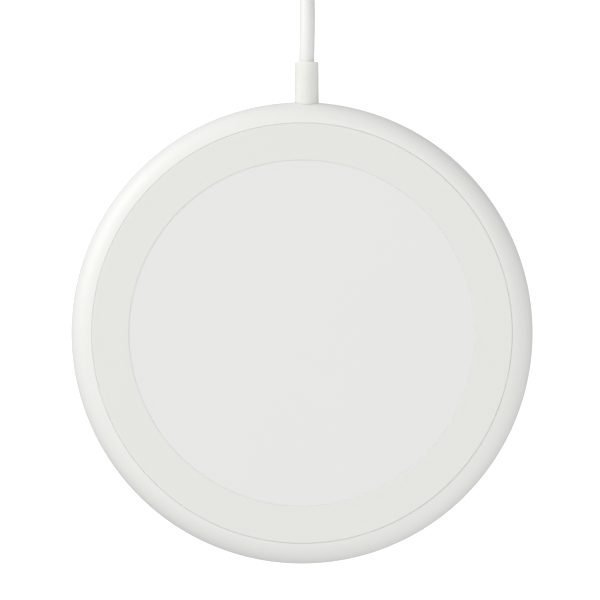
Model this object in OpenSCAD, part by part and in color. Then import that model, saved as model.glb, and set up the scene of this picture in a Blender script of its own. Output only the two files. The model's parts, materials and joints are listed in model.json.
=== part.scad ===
/* [Pad] */
// Outside diameter of the pad
pad_d = 100; // [98:1:104]
// Height of the grip ring's top above the table
pad_h = 10.5; // [10.5:0.1:12]
// Diameter of the seam between the rim and the grip ring
seam_d = 90.6; // [90.6:0.2:91.6]
// Diameter of the centre plate
plate_d = 74.6; // [70:0.2:80]
// Width of the open gap at the seam
seam_gap = 0.25; // [0.1:0.05:0.4]
// Width of the groove between the grip ring and the centre plate
groove_gap = 0.15; // [0.1:0.05:0.3]

/* [Housing] */
// Thickness of the deck that carries the grip ring and the centre plate
deck_t = 1.1; // [0.9:0.1:1.3]
// Thickness of the bottom cover
base_t = 1.5; // [1.4:0.1:1.6]
// How far the foot ring stands below the bottom cover
foot_proud = 0.5; // [0.4:0.1:0.6]
// Outside diameter of the foot ring
foot_d = 82.8; // [82:0.2:83]
// Width of the foot ring
foot_w = 5.8; // [5.6:0.1:6]

/* [Electronics] */
// Diameter of the circuit board
board_d = 69; // [66:1:69]
// Thickness of the circuit board
board_t = 1.2; // [1:0.1:1.4]
// Diameter of the ferrite plate
ferrite_d = 50; // [47:1:51]
// Thickness of the ferrite plate
ferrite_t = 1.2; // [1.2:0.1:1.4]
// Outside diameter of the charging coil
coil_out_d = 43; // [41:0.5:44]
// Inside diameter of the charging coil
coil_in_d = 21; // [20:0.5:22]
// Number of turns of the charging coil
coil_turns = 9.9; // [8.9:1:9.9]
// Diameter of the weight plate
weight_d = 68; // [60:1:69]
// Thickness of the weight plate
weight_t = 1.5; // [1:0.1:1.6]

/* [Cord] */
// Diameter of the cord
cord_d = 3.3; // [3.1:0.1:3.3]
// Diameter of the strain relief sleeve
sleeve_d = 5.2; // [4.8:0.1:5.4]
// How far the sleeve stands out from the rim
sleeve_out = 8.7; // [6:0.1:10]
// Distance of the cord's exit from the pad's centre line
exit_x = 1; // [0:0.1:1.5]
// Height of the cord's exit above the table
exit_z = 5.1; // [5:0.1:5.3]

/* [Plug] */
// Width of the plug's handle
handle_w = 15.6; // [14:0.2:17]
// Height of the plug's handle
handle_h = 7.6; // [7:0.2:9]
// Length of the plug's handle
handle_l = 22; // [18:1:28]

/* [Hidden] */
$fn = 96;

// Radii of the pad
pad_r = pad_d / 2;
seam_r = seam_d / 2;
plate_r = plate_d / 2;
wall_r = seam_r - 2.8;
base_r = seam_r - 1.6;
lip_gap = 0.1;
foot_out_r = foot_d / 2;
foot_in_r = foot_out_r - foot_w;

// Heights of the pad's layers, from the table up
under_z = foot_proud;
floor_z = under_z + base_t;
groove_depth = 0.7;
groove_z = under_z + groove_depth;
// Radius of the rim's round section
rim_r = pad_h - exit_z - 0.1;
plate_z = pad_h - 0.1;
deck_z = pad_h - 1.1;
ceiling_z = deck_z - deck_t;
film_t = 0.15;
pad_film_t = 0.2;
wire_t = 1.1;
coil_z = ceiling_z - pad_film_t - wire_t;
ferrite_z = coil_z - ferrite_t;
board_top = ferrite_z - pad_film_t;
board_z = board_top - board_t;

// Fasteners
case_screw_r = 38.5;
case_screw_angles = [45, 135, 225, 315];
boss_z = floor_z + 1.2;
head_z = floor_z + 0.2;
board_screw_r = 30;
board_screw_angles = [30, 150, 270];
fit_gap = 0.05;

// The sleeve and the inner end of the cord
cord_r = cord_d / 2;
sleeve_r = sleeve_d / 2;
seat_y = 41.5;
collar_t = 1.2;
tail_y = 39;
sleeve_end = pad_r + sleeve_out;
board_flat_y = 32.5;
solder_y = 30.5;

// The cord on the table: its route runs straight from the sleeve, down and into the coil
table_z = cord_r + 0.02;
cord_route = [
    [exit_x, sleeve_end, exit_z],
    [exit_x, 62, exit_z],
    [exit_x, 66, 4.7],
    [exit_x, 70, 3.7],
    [exit_x, 74, 2.6],
    [exit_x, 78, 1.9],
    [exit_x, 82, table_z],
    [exit_x, 85.7, table_z]
];
// The stored coil: three columns of turns and four layers, a pitch apart
turn_pitch = cord_d + 0.05;
mid_turn_r = 17.3;
coil_center = [exit_x + mid_turn_r + turn_pitch, 98];
tie_t = 0.4;
stack_z = tie_t + 0.1;
stack_h = 3 * turn_pitch + cord_d;
stack_in_r = mid_turn_r - turn_pitch - cord_r;
stack_out_r = mid_turn_r + turn_pitch + cord_r;
// The lead from the coil bends a quarter turn down to the plug
plug_z = handle_h / 2;
lead_route = [
    [-0.6, 107.3, 10],
    [-2.4, 109.9, 8.5],
    [-5, 112.1, 6.6],
    [-8.2, 113.5, 5],
    [-10.8, 114, plug_z],
    [-13, 114, plug_z]
];
neck_l = 9;
shell_w = 12;
shell_h = 4.5;
shell_t = 0.3;
shell_out = 12;
shell_in = 6;

// ---- shapes that repeat ----

// Points on an elliptic arc; skip leaves out the first ones, which another arc has
function arc(c, a, b, from, to, steps, skip = 0) = [
    for (i = [skip:steps])
        let (t = from + (to - from) * i / steps)
            [c[0] + a * cos(t), c[1] + b * sin(t)]
];

// Outline of a rectangle with round corners, centred
function round_rect(w, h, r, steps = 5) = concat(
    arc([w / 2 - r, h / 2 - r], r, r, 0, 90, steps),
    arc([r - w / 2, h / 2 - r], r, r, 90, 180, steps),
    arc([r - w / 2, r - h / 2], r, r, 180, 270, steps),
    arc([w / 2 - r, r - h / 2], r, r, 270, 360, steps)
);

// Section of a flat ring between two radii and two heights, with its top edges rounded
function ring_section(r1, r2, z1, z2, edge) = concat(
    [[r1, z1], [r2, z1]],
    arc([r2 - edge, z2 - edge], edge, edge, 0, 90, 4),
    arc([r1 + edge, z2 - edge], edge, edge, 90, 180, 4)
);

function unit(v) = v / norm(v);

function heading(path, i) =
    unit(path[min(i + 1, len(path) - 1)] - path[max(i - 1, 0)]);

function hoop(c, t, r, sides) =
    let (across = unit(cross(t, [0, 0, 1])), up = cross(across, t))
    [for (k = [0:sides - 1])
        c + r * (cos(360 * k / sides) * across + sin(360 * k / sides) * up)];

// A round wire or cord of radius r along a list of points
module swept(path, r, sides = 8) {
    last = len(path) - 1;
    points = [for (i = [0:last]) each hoop(path[i], heading(path, i), r, sides)];
    walls = [
        for (i = [0:last - 1], k = [0:sides - 1])
            let (
                a = i * sides + k,
                b = i * sides + (k + 1) % sides
            )
            each [[a, b, b + sides], [a, b + sides, a + sides]]
    ];
    start_cap = [for (k = [sides - 1:-1:0]) k];
    end_cap = [for (k = [0:sides - 1]) last * sides + k];
    polyhedron(points = points, faces = concat(walls, [start_cap, end_cap]));
}

module disc(r, z, t) {
    translate([0, 0, z])
        cylinder(r = r, h = t);
}

module along_y(x, y, z, r, l) {
    translate([x, y, z])
        rotate([-90, 0, 0])
            cylinder(r = r, h = l);
}

module at_polar(r, angles, z) {
    for (a = angles)
        rotate([0, 0, a])
            translate([r, 0, z])
                children();
}

// A part on the circuit board: its long side w lies along the board's edge
module mounted(r, angles, l, w, h) {
    at_polar(r, angles, board_top)
        translate([-l / 2, -w / 2, 0])
            cube([l, w, h]);
}

// A cross-head screw pointing up, with its head's flat side at z = 0
module screw(head_r, head_h, shank_r, shank_l, slot) {
    tip_l = shank_r;
    difference() {
        cylinder(r = head_r, h = head_h);
        for (a = [0, 90])
            rotate([0, 0, a])
                translate([-head_r * 0.6, -slot / 2, -1])
                    cube([head_r * 1.2, slot, 1 + head_h * 0.5]);
    }
    translate([0, 0, head_h]) {
        cylinder(r = shank_r, h = shank_l - tip_l);
        translate([0, 0, shank_l - tip_l])
            cylinder(r1 = shank_r, r2 = shank_r * 0.3, h = tip_l);
    }
}

// ---- the pad's housing ----

// Half section of the upper shell: full-round rim, wall and deck
module shell_section() {
    inside_r = base_r + lip_gap;
    difference() {
        union() {
            intersection() {
                translate([pad_r - rim_r, exit_z])
                    circle(r = rim_r);
                translate([inside_r, under_z])
                    square([pad_r - inside_r + 1, pad_h]);
            }
            translate([wall_r, floor_z])
                square([inside_r - wall_r + 1, deck_z - floor_z]);
            translate([0, ceiling_z])
                square([seam_r, deck_t]);
        }
        translate([-1, deck_z])
            square([seam_r + 1, pad_h]);
    }
}

// Rounded rim, deck and screw bosses in one white moulding, open below
module upper_shell() {
    color("white")
        difference() {
            union() {
                rotate_extrude()
                    shell_section();
                at_polar(case_screw_r, case_screw_angles, boss_z)
                    cylinder(r = 2.8, h = ceiling_z - boss_z + 0.3);
                at_polar(board_screw_r, board_screw_angles, board_top)
                    cylinder(r = 2.4, h = ceiling_z - board_top + 0.3);
                translate([exit_x - 5, seat_y, floor_z])
                    cube([10, 2.5, ceiling_z - floor_z + 0.3]);
            }
            at_polar(case_screw_r, case_screw_angles, boss_z - 0.1)
                cylinder(r = 1 + fit_gap, h = 4.7);
            at_polar(board_screw_r, board_screw_angles, board_top - 0.1)
                cylinder(r = 0.8 + fit_gap, h = 2.4);
            along_y(exit_x, seat_y - 1, exit_z, sleeve_r + 0.02, 12);
        }
}

// Bottom cover with its foot groove, locating lip and screw pillars
module base_cover() {
    chamfer = 0.3;
    lip_r = wall_r - lip_gap;
    lip_w = 0.7;
    color([0.93, 0.93, 0.92])
        difference() {
            union() {
                rotate_extrude()
                    polygon([
                        [0, under_z],
                        [base_r - chamfer, under_z],
                        [base_r, under_z + chamfer],
                        [base_r, floor_z],
                        [0, floor_z]
                    ]);
                difference() {
                    disc(lip_r, floor_z - 0.2, 1.2);
                    disc(lip_r - lip_w, floor_z - 0.3, 1.5);
                    translate([exit_x - 6, 30, floor_z])
                        cube([12, 20, 3]);
                }
                at_polar(case_screw_r, case_screw_angles, under_z + 0.1)
                    cylinder(r = 3.3, h = boss_z - under_z - 0.1);
            }
            difference() {
                disc(foot_out_r + lip_gap, 0, groove_z);
                disc(foot_in_r - lip_gap, -1, groove_z + 2);
            }
            at_polar(case_screw_r, case_screw_angles, 0)
                cylinder(r = 2.1, h = head_z);
            at_polar(case_screw_r, case_screw_angles, 0)
                cylinder(r = 1 + 2 * fit_gap, h = 6);
        }
}

module center_plate() {
    top_edge = 0.12;
    color([0.96, 0.96, 0.96])
        rotate_extrude()
            polygon(concat(
                [[0, deck_z + film_t], [plate_r, deck_z + film_t]],
                arc([plate_r - top_edge, plate_z - top_edge], top_edge, top_edge, 0, 90, 3),
                [[0, plate_z]]
            ));
}

module plate_adhesive() {
    color([0.85, 0.85, 0.8])
        disc(plate_r - 1, deck_z, film_t);
}

// Soft ring that keeps the phone from sliding
module grip_ring() {
    color([0.92, 0.93, 0.89])
        rotate_extrude()
            polygon(ring_section(plate_r + groove_gap, seam_r - seam_gap, deck_z, pad_h, 0.3));
}

// Soft ring that the pad stands on; it also hides the case screws
module foot_ring() {
    color([0.85, 0.86, 0.84])
        translate([0, 0, groove_z - film_t])
            mirror([0, 0, 1])
                rotate_extrude()
                    polygon(ring_section(foot_in_r, foot_out_r, 0, groove_z - film_t, 0.35));
}

module foot_adhesive() {
    color([0.85, 0.85, 0.8])
        difference() {
            disc(foot_out_r - 0.2, groove_z - film_t, film_t);
            disc(foot_in_r + 0.2, 0, pad_h);
        }
}

module case_screws() {
    color([0.7, 0.7, 0.72])
        at_polar(case_screw_r, case_screw_angles, groove_z)
            screw(2, head_z - groove_z, 1, 5, 0.7);
}

// ---- the charging coil and its ferrite ----

module coil_tape() {
    color([0.9, 0.88, 0.7])
        disc(coil_out_d / 2 + 0.3, ceiling_z - pad_film_t, pad_film_t);
}

// Flat spiral of stranded copper wire
module charging_coil() {
    steps = 24;
    wire_w = 0.95;
    mid_in_r = (coil_in_d + wire_w) / 2;
    mid_out_r = (coil_out_d - wire_w) / 2;
    pitch = (mid_out_r - mid_in_r) / coil_turns;
    side = function (shift) [
        for (i = [0:round(coil_turns * steps)])
            let (a = 360 * i / steps, r = mid_in_r + pitch * i / steps + shift)
                [r * cos(a), r * sin(a)]
    ];
    inner = side(-wire_w / 2);
    outer = side(wire_w / 2);
    color([0.78, 0.45, 0.25])
        translate([0, 0, coil_z])
            linear_extrude(height = wire_t)
                polygon(concat(outer, [for (i = [len(inner) - 1:-1:0]) inner[i]]));
}

// The winding's two ends: one runs out under the coil in the ferrite's slot
module coil_leads() {
    lead_r = 0.42;
    slot_z = ferrite_z + ferrite_t / 2;
    pad_z = board_top + lead_r;
    end_r = coil_out_d / 2;
    color([0.78, 0.45, 0.25]) {
        swept([
            [9.4, 0, coil_z + 0.4],
            [9.6, 0, coil_z - 0.1],
            [10.6, 0, slot_z],
            [14, 0, slot_z],
            [24, 0, slot_z],
            [26, 0, pad_z + 0.2],
            [28, 0, pad_z]
        ], lead_r);
        rotate([0, 0, -36])
            swept([
                [end_r + 0.1, 0, coil_z + 0.5],
                [end_r + 2, 0, coil_z + 0.5],
                [ferrite_d / 2 + 0.6, 0, coil_z + 0.45],
                [ferrite_d / 2 + 1.6, 0, pad_z + 0.4],
                [28.4, 0, pad_z]
            ], lead_r);
    }
}

module ferrite_plate() {
    color([0.25, 0.25, 0.27])
        difference() {
            disc(ferrite_d / 2, ferrite_z, ferrite_t);
            translate([8, -1.1, ferrite_z - 1])
                cube([20, 2.2, ferrite_t + 2]);
        }
}

module ferrite_tape() {
    color([0.9, 0.88, 0.7])
        disc(ferrite_d / 2 - 1, board_top, pad_film_t);
}

// ---- the circuit board ----

module circuit_board() {
    color([0.1, 0.4, 0.25])
        difference() {
            disc(board_d / 2, board_z, board_t);
            translate([-30, board_flat_y, board_z - 1])
                cube([60, 10, board_t + 2]);
            at_polar(board_screw_r, board_screw_angles, board_z - 1)
                cylinder(r = 1, h = board_t + 2);
        }
}

module board_screws() {
    color([0.7, 0.7, 0.72])
        at_polar(board_screw_r, board_screw_angles, board_z - 1)
            screw(1.7, 1, 0.8, 3.3, 0.5);
}

module controller_chip() {
    color([0.12, 0.12, 0.13])
        mounted(29.8, [190], 6, 6, 0.9);
}

module power_chips() {
    color([0.12, 0.12, 0.13])
        mounted(30.2, [292, 306], 4, 4, 0.9);
}

module voltage_regulator() {
    color([0.15, 0.15, 0.16])
        mounted(30, [170], 3, 1.6, 1.1);
}

module resonant_capacitors() {
    color([0.72, 0.58, 0.42])
        mounted(31.2, [338, 345, 352, 359], 3.2, 2.5, 1.8);
}

module input_capacitors() {
    color([0.72, 0.58, 0.42])
        mounted(30.6, [56, 62, 68], 3.2, 1.6, 1.4);
}

module filter_inductor() {
    color([0.3, 0.3, 0.32])
        mounted(29.4, [114], 5, 5, 2.2);
}

module sense_resistor() {
    color([0.14, 0.14, 0.15])
        mounted(31, [319], 3.2, 6.3, 0.6);
}

module temperature_sensor() {
    color([0.35, 0.33, 0.3])
        mounted(27, [236], 0.8, 1.6, 0.8);
}

// Small resistors and capacitors beside the controller
module chip_passives() {
    color([0.6, 0.5, 0.4])
        mounted(32.6, [200:5:250], 1.6, 0.8, 0.6);
}

// ---- the weight ----

// Steel disc that keeps the pad in place, with room for the board's screw heads
module weight_plate() {
    color([0.6, 0.61, 0.63])
        difference() {
            disc(weight_d / 2, floor_z + film_t, weight_t);
            at_polar(board_screw_r, board_screw_angles, floor_z)
                cylinder(r = 2.6, h = 5);
        }
}

module weight_tape() {
    color([0.9, 0.88, 0.7])
        disc(26, floor_z, film_t);
}

// ---- the cord ----

// Soft sleeve whose collar snaps in behind the wall
module strain_relief() {
    round_r = 0.35;
    color([0.88, 0.89, 0.87])
        translate([exit_x, 0, exit_z])
            rotate([-90, 0, 0])
                rotate_extrude()
                    polygon(concat(
                        [
                            [cord_r + 0.01, seat_y - collar_t],
                            [3, seat_y - collar_t],
                            [3, seat_y],
                            [sleeve_r, seat_y]
                        ],
                        arc([sleeve_r - round_r, sleeve_end - round_r], round_r, round_r, 0, 90, 4),
                        [[cord_r + 0.01, sleeve_end]]
                    ));
}

// The cord's jacket inside the sleeve, up to where it is stripped
module cord_tail() {
    color("white")
        along_y(exit_x, tail_y, exit_z, cord_r, sleeve_end - tail_y);
}

// A wire from the stripped end over the board's edge to its solder point
module inner_wire(dx, dz, solder_x, r) {
    lift = board_top + r;
    swept([
        [exit_x + dx, tail_y, exit_z + dz],
        [exit_x + dx * 1.2, tail_y - 1.2, exit_z + dz],
        [(exit_x + solder_x) / 2 + dx, 35.4, (exit_z + dz + lift) / 2 + 0.4],
        [solder_x, 33.2, lift + 0.25],
        [solder_x, 31.8, lift + 0.05],
        [solder_x, solder_y, lift]
    ], r);
}

module positive_wire() {
    color([0.8, 0.1, 0.1])
        inner_wire(-0.6, -0.6, exit_x - 4.5, 0.45);
}

module negative_wire() {
    color([0.12, 0.12, 0.12])
        inner_wire(0.6, -0.6, exit_x + 4.5, 0.45);
}

module data_wires() {
    color([0.2, 0.6, 0.3]) {
        inner_wire(-0.5, 0.6, exit_x - 1.6, 0.35);
        inner_wire(0.5, 0.6, exit_x + 1.6, 0.35);
    }
}

module cord() {
    color("white")
        swept(cord_route, cord_r);
}

// Outer shape of the wound length of cord
module cord_coil() {
    color("white")
        translate([coil_center[0], coil_center[1], stack_z + stack_h / 2])
            rotate_extrude()
                translate([mid_turn_r, 0])
                    polygon(round_rect(stack_out_r - stack_in_r, stack_h, cord_r, 4));
}

module cord_plug_lead() {
    color("white")
        swept(lead_route, cord_r);
}

// Flat wire tie round the turns, with its twisted end inside the coil
module cord_tie() {
    tie_w = 4;
    room_in = 0.3;
    open_w = stack_out_r - stack_in_r + room_in + fit_gap;
    open_h = stack_h + 2 * fit_gap;
    mid_r = (stack_out_r + fit_gap + stack_in_r - room_in) / 2;
    color([0.9, 0.9, 0.9])
        translate([coil_center[0] + mid_r, coil_center[1], stack_z + stack_h / 2]) {
            translate([0, tie_w / 2, 0])
                rotate([90, 0, 0])
                    linear_extrude(height = tie_w)
                        difference() {
                            polygon(round_rect(open_w + 2 * tie_t, open_h + 2 * tie_t, cord_r));
                            polygon(round_rect(open_w, open_h, cord_r - tie_t));
                        }
            translate([-open_w / 2 - 8, 0, 0])
                rotate([0, 90, 0])
                    cylinder(r = 0.8, h = 8 - tie_t / 2);
        }
}

// ---- the plug, lying on the table beside the coil ----

module plug_place() {
    translate([lead_route[len(lead_route) - 1][0], lead_route[len(lead_route) - 1][1], plug_z])
        rotate([0, 0, 90])
            children();
}

// A rounded bar that runs forward along Y from y
module bar(w, h, r, y, l) {
    translate([0, y + l, 0])
        rotate([90, 0, 0])
            linear_extrude(height = l)
                polygon(round_rect(w, h, r));
}

module plug_handle() {
    front_y = neck_l + handle_l;
    color("white")
        plug_place()
            difference() {
                union() {
                    rotate([-90, 0, 0])
                        cylinder(r1 = 2.3, r2 = 3.1, h = neck_l + 1);
                    bar(handle_w, handle_h, 2.4, neck_l, handle_l);
                }
                bar(shell_w + 0.04, shell_h + 0.04, 0.6, front_y - shell_in, shell_in + 1);
            }
}

module plug_shell() {
    front_y = neck_l + handle_l;
    color([0.75, 0.76, 0.78])
        plug_place()
            difference() {
                bar(shell_w, shell_h, 0.6, front_y - shell_in, shell_in + shell_out);
                bar(shell_w - 2 * shell_t, shell_h - 2 * shell_t, 0.3, front_y - shell_in - 1, 30);
                for (x = [-2.9, 2.9])
                    translate([x - 1.25, front_y + 4.6, -5])
                        cube([2.5, 2, 10]);
            }
}

module plug_tongue() {
    front_y = neck_l + handle_l;
    inner_floor = shell_t - shell_h / 2;
    color([0.95, 0.95, 0.95])
        plug_place()
            translate([-5.4, front_y - shell_in, inner_floor])
                cube([10.8, shell_in + shell_out - 0.6, 1.9]);
}

module plug_contacts() {
    front_y = neck_l + handle_l;
    color([0.85, 0.7, 0.35])
        plug_place()
            for (x = [-3.5, -1, 1, 3.5])
                translate([x - 0.5, front_y + 2, shell_t - shell_h / 2 + 1.9])
                    cube([1, 8.6, 0.15]);
}

upper_shell();
base_cover();
center_plate();
plate_adhesive();
grip_ring();
foot_ring();
foot_adhesive();
case_screws();
coil_tape();
charging_coil();
coil_leads();
ferrite_plate();
ferrite_tape();
circuit_board();
board_screws();
controller_chip();
power_chips();
voltage_regulator();
resonant_capacitors();
input_capacitors();
filter_inductor();
sense_resistor();
temperature_sensor();
chip_passives();
weight_plate();
weight_tape();
strain_relief();
cord_tail();
positive_wire();
negative_wire();
data_wires();
cord();
cord_coil();
cord_plug_lead();
cord_tie();
plug_handle();
plug_shell();
plug_tongue();
plug_contacts();
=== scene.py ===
"""Looks of a round wireless charging pad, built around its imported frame."""

import json
import logging
import math
from dataclasses import dataclass
from enum import Enum

import bmesh
import bpy
from mathutils import Matrix, Vector
from mathutils.geometry import interpolate_bezier


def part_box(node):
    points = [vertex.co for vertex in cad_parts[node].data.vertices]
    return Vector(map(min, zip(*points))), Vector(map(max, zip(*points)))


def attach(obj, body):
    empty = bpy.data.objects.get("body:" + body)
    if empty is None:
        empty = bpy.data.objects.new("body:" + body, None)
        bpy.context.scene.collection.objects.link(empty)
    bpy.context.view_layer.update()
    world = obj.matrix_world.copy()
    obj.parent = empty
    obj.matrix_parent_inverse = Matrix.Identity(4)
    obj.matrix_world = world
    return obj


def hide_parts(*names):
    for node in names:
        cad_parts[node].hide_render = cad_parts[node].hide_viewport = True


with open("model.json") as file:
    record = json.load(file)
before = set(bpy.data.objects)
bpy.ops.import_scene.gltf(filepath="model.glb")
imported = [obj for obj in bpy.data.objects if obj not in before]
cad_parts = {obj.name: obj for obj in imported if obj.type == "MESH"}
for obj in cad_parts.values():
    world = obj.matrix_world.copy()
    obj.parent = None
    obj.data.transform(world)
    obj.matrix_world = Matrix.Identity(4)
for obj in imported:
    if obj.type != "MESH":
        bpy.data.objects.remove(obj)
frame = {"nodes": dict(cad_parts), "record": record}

LOG = logging.getLogger("charging_pad")
MM = 0.001
BODY = "root"
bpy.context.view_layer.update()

Point = tuple[float, float, float]
Flat = tuple[float, float]
Outline = list[Flat]
Station = tuple[float, float, float, float]
Colour = tuple[float, float, float]


# ---- sizes taken from the frame ----


@dataclass(frozen=True)
class Span:
    """The box of one CAD node, in metres."""

    low: Vector
    high: Vector

    @classmethod
    def of(cls, node: str) -> "Span":
        """Reads a node's box from the frame.

        Args:
            node: the CAD node's name.

        Returns:
            Its lowest and highest corners.
        """
        low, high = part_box(node)
        return cls(Vector(low), Vector(high))

    @property
    def middle(self) -> Vector:
        """The middle of the box."""
        return (self.low + self.high) / 2

    @property
    def size(self) -> Vector:
        """The box's three sides."""
        return self.high - self.low


def mount_place(name: str) -> Vector:
    """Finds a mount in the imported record.

    Args:
        name: the mount's name.

    Returns:
        Its position, in metres.
    """
    mounts = {m["name"]: m["pos_m"] for m in frame["record"]["mounts"]}
    return Vector(mounts[name])


# ---- outlines ----


def arc(
    centre: Flat, radius: float, start: float, end: float, steps: int, rise: float | None = None
) -> Outline:
    """Points along an arc of a circle, or of an ellipse.

    Args:
        centre: the arc's centre.
        radius: its radius.
        start: the angle it starts at, in degrees.
        end: the angle it ends at, in degrees.
        steps: how many straight steps it takes.
        rise: the ellipse's other radius, up and down.

    Returns:
        The points, both ends included.
    """
    points = []
    up = radius if rise is None else rise
    for step in range(steps + 1):
        turn = math.radians(start + (end - start) * step / steps)
        points.append((centre[0] + radius * math.cos(turn), centre[1] + up * math.sin(turn)))
    return points


def smooth_step(share: float) -> float:
    """Eases a share of the way from 0 to 1, level at both ends."""
    held = min(1.0, max(0.0, share))
    return held * held * (3 - 2 * held)


def rounded_rectangle(width: float, height: float, radius: float, steps: int = 8) -> Outline:
    """Outline of a rectangle with round corners, centred on the origin.

    Args:
        width: its full width.
        height: its full height.
        radius: the corners' radius.
        steps: straight steps in each corner.

    Returns:
        The outline, anticlockwise, without its first point repeated.
    """
    x, y = width / 2 - radius, height / 2 - radius
    outline: Outline = []
    for cx, cy, start in ((x, y, 0), (-x, y, 90), (-x, -y, 180), (x, -y, 270)):
        outline += arc((cx, cy), radius, start, start + 90, steps)
    return outline


# ---- finishes ----


def linear(colour: Colour) -> tuple[float, float, float, float]:
    """Turns a display colour into the scene's linear one.

    Args:
        colour: red, green and blue from 0 to 255 as a screen shows them.

    Returns:
        Linear red, green, blue and full alpha.
    """
    parts = []
    for value in colour:
        share = value / 255
        parts.append(share / 12.92 if share <= 0.04045 else ((share + 0.055) / 1.055) ** 2.4)
    return (parts[0], parts[1], parts[2], 1.0)


class Nodes:
    """A small helper that adds and joins nodes in one tree."""

    def __init__(self, tree: bpy.types.NodeTree) -> None:
        """Keeps the tree.

        Args:
            tree: a shader or geometry tree.
        """
        self.tree = tree

    def add(self, kind: str, inputs: dict[str, object] | None = None, **settings: object) -> bpy.types.Node:
        """Adds a node.

        Args:
            kind: the node's type.
            inputs: a socket to join, or a value to set, for each input that is named.
            settings: properties to set on it first.

        Returns:
            The new node.
        """
        node = self.tree.nodes.new(kind)
        for key, value in settings.items():
            setattr(node, key, value)
        self.feed(node, inputs or {})
        return node

    def feed(self, node: bpy.types.Node, inputs: dict[str | int, object]) -> None:
        """Fills a node's inputs, by a link where the value is a socket.

        Args:
            node: the node.
            inputs: the sockets or values, by the input's name or number.
        """
        for key, value in inputs.items():
            if isinstance(value, bpy.types.NodeSocket):
                self.join(value, node.inputs[key])
            else:
                node.inputs[key].default_value = value

    def join(self, source: bpy.types.NodeSocket, target: bpy.types.NodeSocket) -> None:
        """Links an output to an input."""
        self.tree.links.new(source, target)

    def maths(self, operation: str, *values: object) -> bpy.types.NodeSocket:
        """Adds a Math node.

        Args:
            operation: the node's operation.
            values: a socket or a number for each of its inputs.

        Returns:
            Its output.
        """
        return self.add("ShaderNodeMath", dict(enumerate(values)), operation=operation).outputs[0]


def new_group(
    name: str, inputs: dict[str, float], outputs: list[str]
) -> tuple[Nodes, bpy.types.Node, bpy.types.Node]:
    """Makes an empty shader node group that works on a vector.

    Args:
        name: the group's name.
        inputs: its number inputs and their defaults.
        outputs: its number outputs.

    Returns:
        The tree's helper, the group's input node and its output node.
    """
    group = bpy.data.node_groups.new(name, "ShaderNodeTree")
    group.interface.new_socket(name="Vector", in_out="INPUT", socket_type="NodeSocketVector")
    for label, default in inputs.items():
        socket = group.interface.new_socket(name=label, in_out="INPUT", socket_type="NodeSocketFloat")
        socket.default_value = default
    for label in outputs:
        group.interface.new_socket(name=label, in_out="OUTPUT", socket_type="NodeSocketFloat")
    nodes = Nodes(group)
    return nodes, nodes.add("NodeGroupInput"), nodes.add("NodeGroupOutput")


def grain_group() -> bpy.types.NodeTree:
    """Moulded grain: a fine texture, a broad unevenness and what both do to tone, sheen and height.

    Returns:
        The group, with outputs Tone, Roughness and Height.
    """
    inputs = {
        "Grain Scale": 2000,
        "Patch Scale": 40,
        "Tone Spread": 0.02,
        "Roughness": 0.5,
        "Roughness Spread": 0.1,
    }
    nodes, given, result = new_group("Moulded Grain", inputs, ["Tone", "Roughness", "Height"])
    vector = given.outputs["Vector"]
    fine, patch = (
        nodes.add("ShaderNodeTexNoise", {"Vector": vector, "Scale": given.outputs[scale], "Detail": detail})
        for scale, detail in (("Grain Scale", 3), ("Patch Scale", 2))
    )
    halves = [nodes.maths("MULTIPLY", noise.outputs[0], 0.5) for noise in (fine, patch)]
    centred = nodes.maths("SUBTRACT", nodes.maths("ADD", *halves), 0.5)
    tone = nodes.maths("MULTIPLY", centred, given.outputs["Tone Spread"])
    rough = nodes.maths("MULTIPLY", centred, given.outputs["Roughness Spread"])
    results = {
        "Tone": nodes.maths("ADD", tone, 1.0),
        "Roughness": nodes.maths("ADD", rough, given.outputs["Roughness"]),
        "Height": fine.outputs[0],
    }
    nodes.feed(result, results)
    return nodes.tree


def specks_group() -> bpy.types.NodeTree:
    """Dust specks: sparse small dots that lie on soft, clinging surfaces.

    Returns:
        The group, with one output, Specks, from 0 to 1.
    """
    nodes, given, result = new_group("Dust Specks", {"Scale": 600, "Size": 0.12, "Share": 0.2}, ["Specks"])
    share = given.outputs["Share"]
    cells = nodes.add(
        "ShaderNodeTexVoronoi", {"Vector": given.outputs["Vector"], "Scale": given.outputs["Scale"]}
    )
    inside = nodes.maths("LESS_THAN", cells.outputs["Distance"], given.outputs["Size"])
    pick = nodes.add("ShaderNodeSeparateColor", {0: cells.outputs["Color"]})
    chosen = nodes.maths("LESS_THAN", pick.outputs[0], share)
    nodes.feed(result, {"Specks": nodes.maths("MULTIPLY", inside, chosen)})
    return nodes.tree


class Groups:
    """The shader node groups that the finishes share, each made once."""

    def __init__(self) -> None:
        """Builds every group."""
        self.grain = grain_group()
        self.specks = specks_group()


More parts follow.
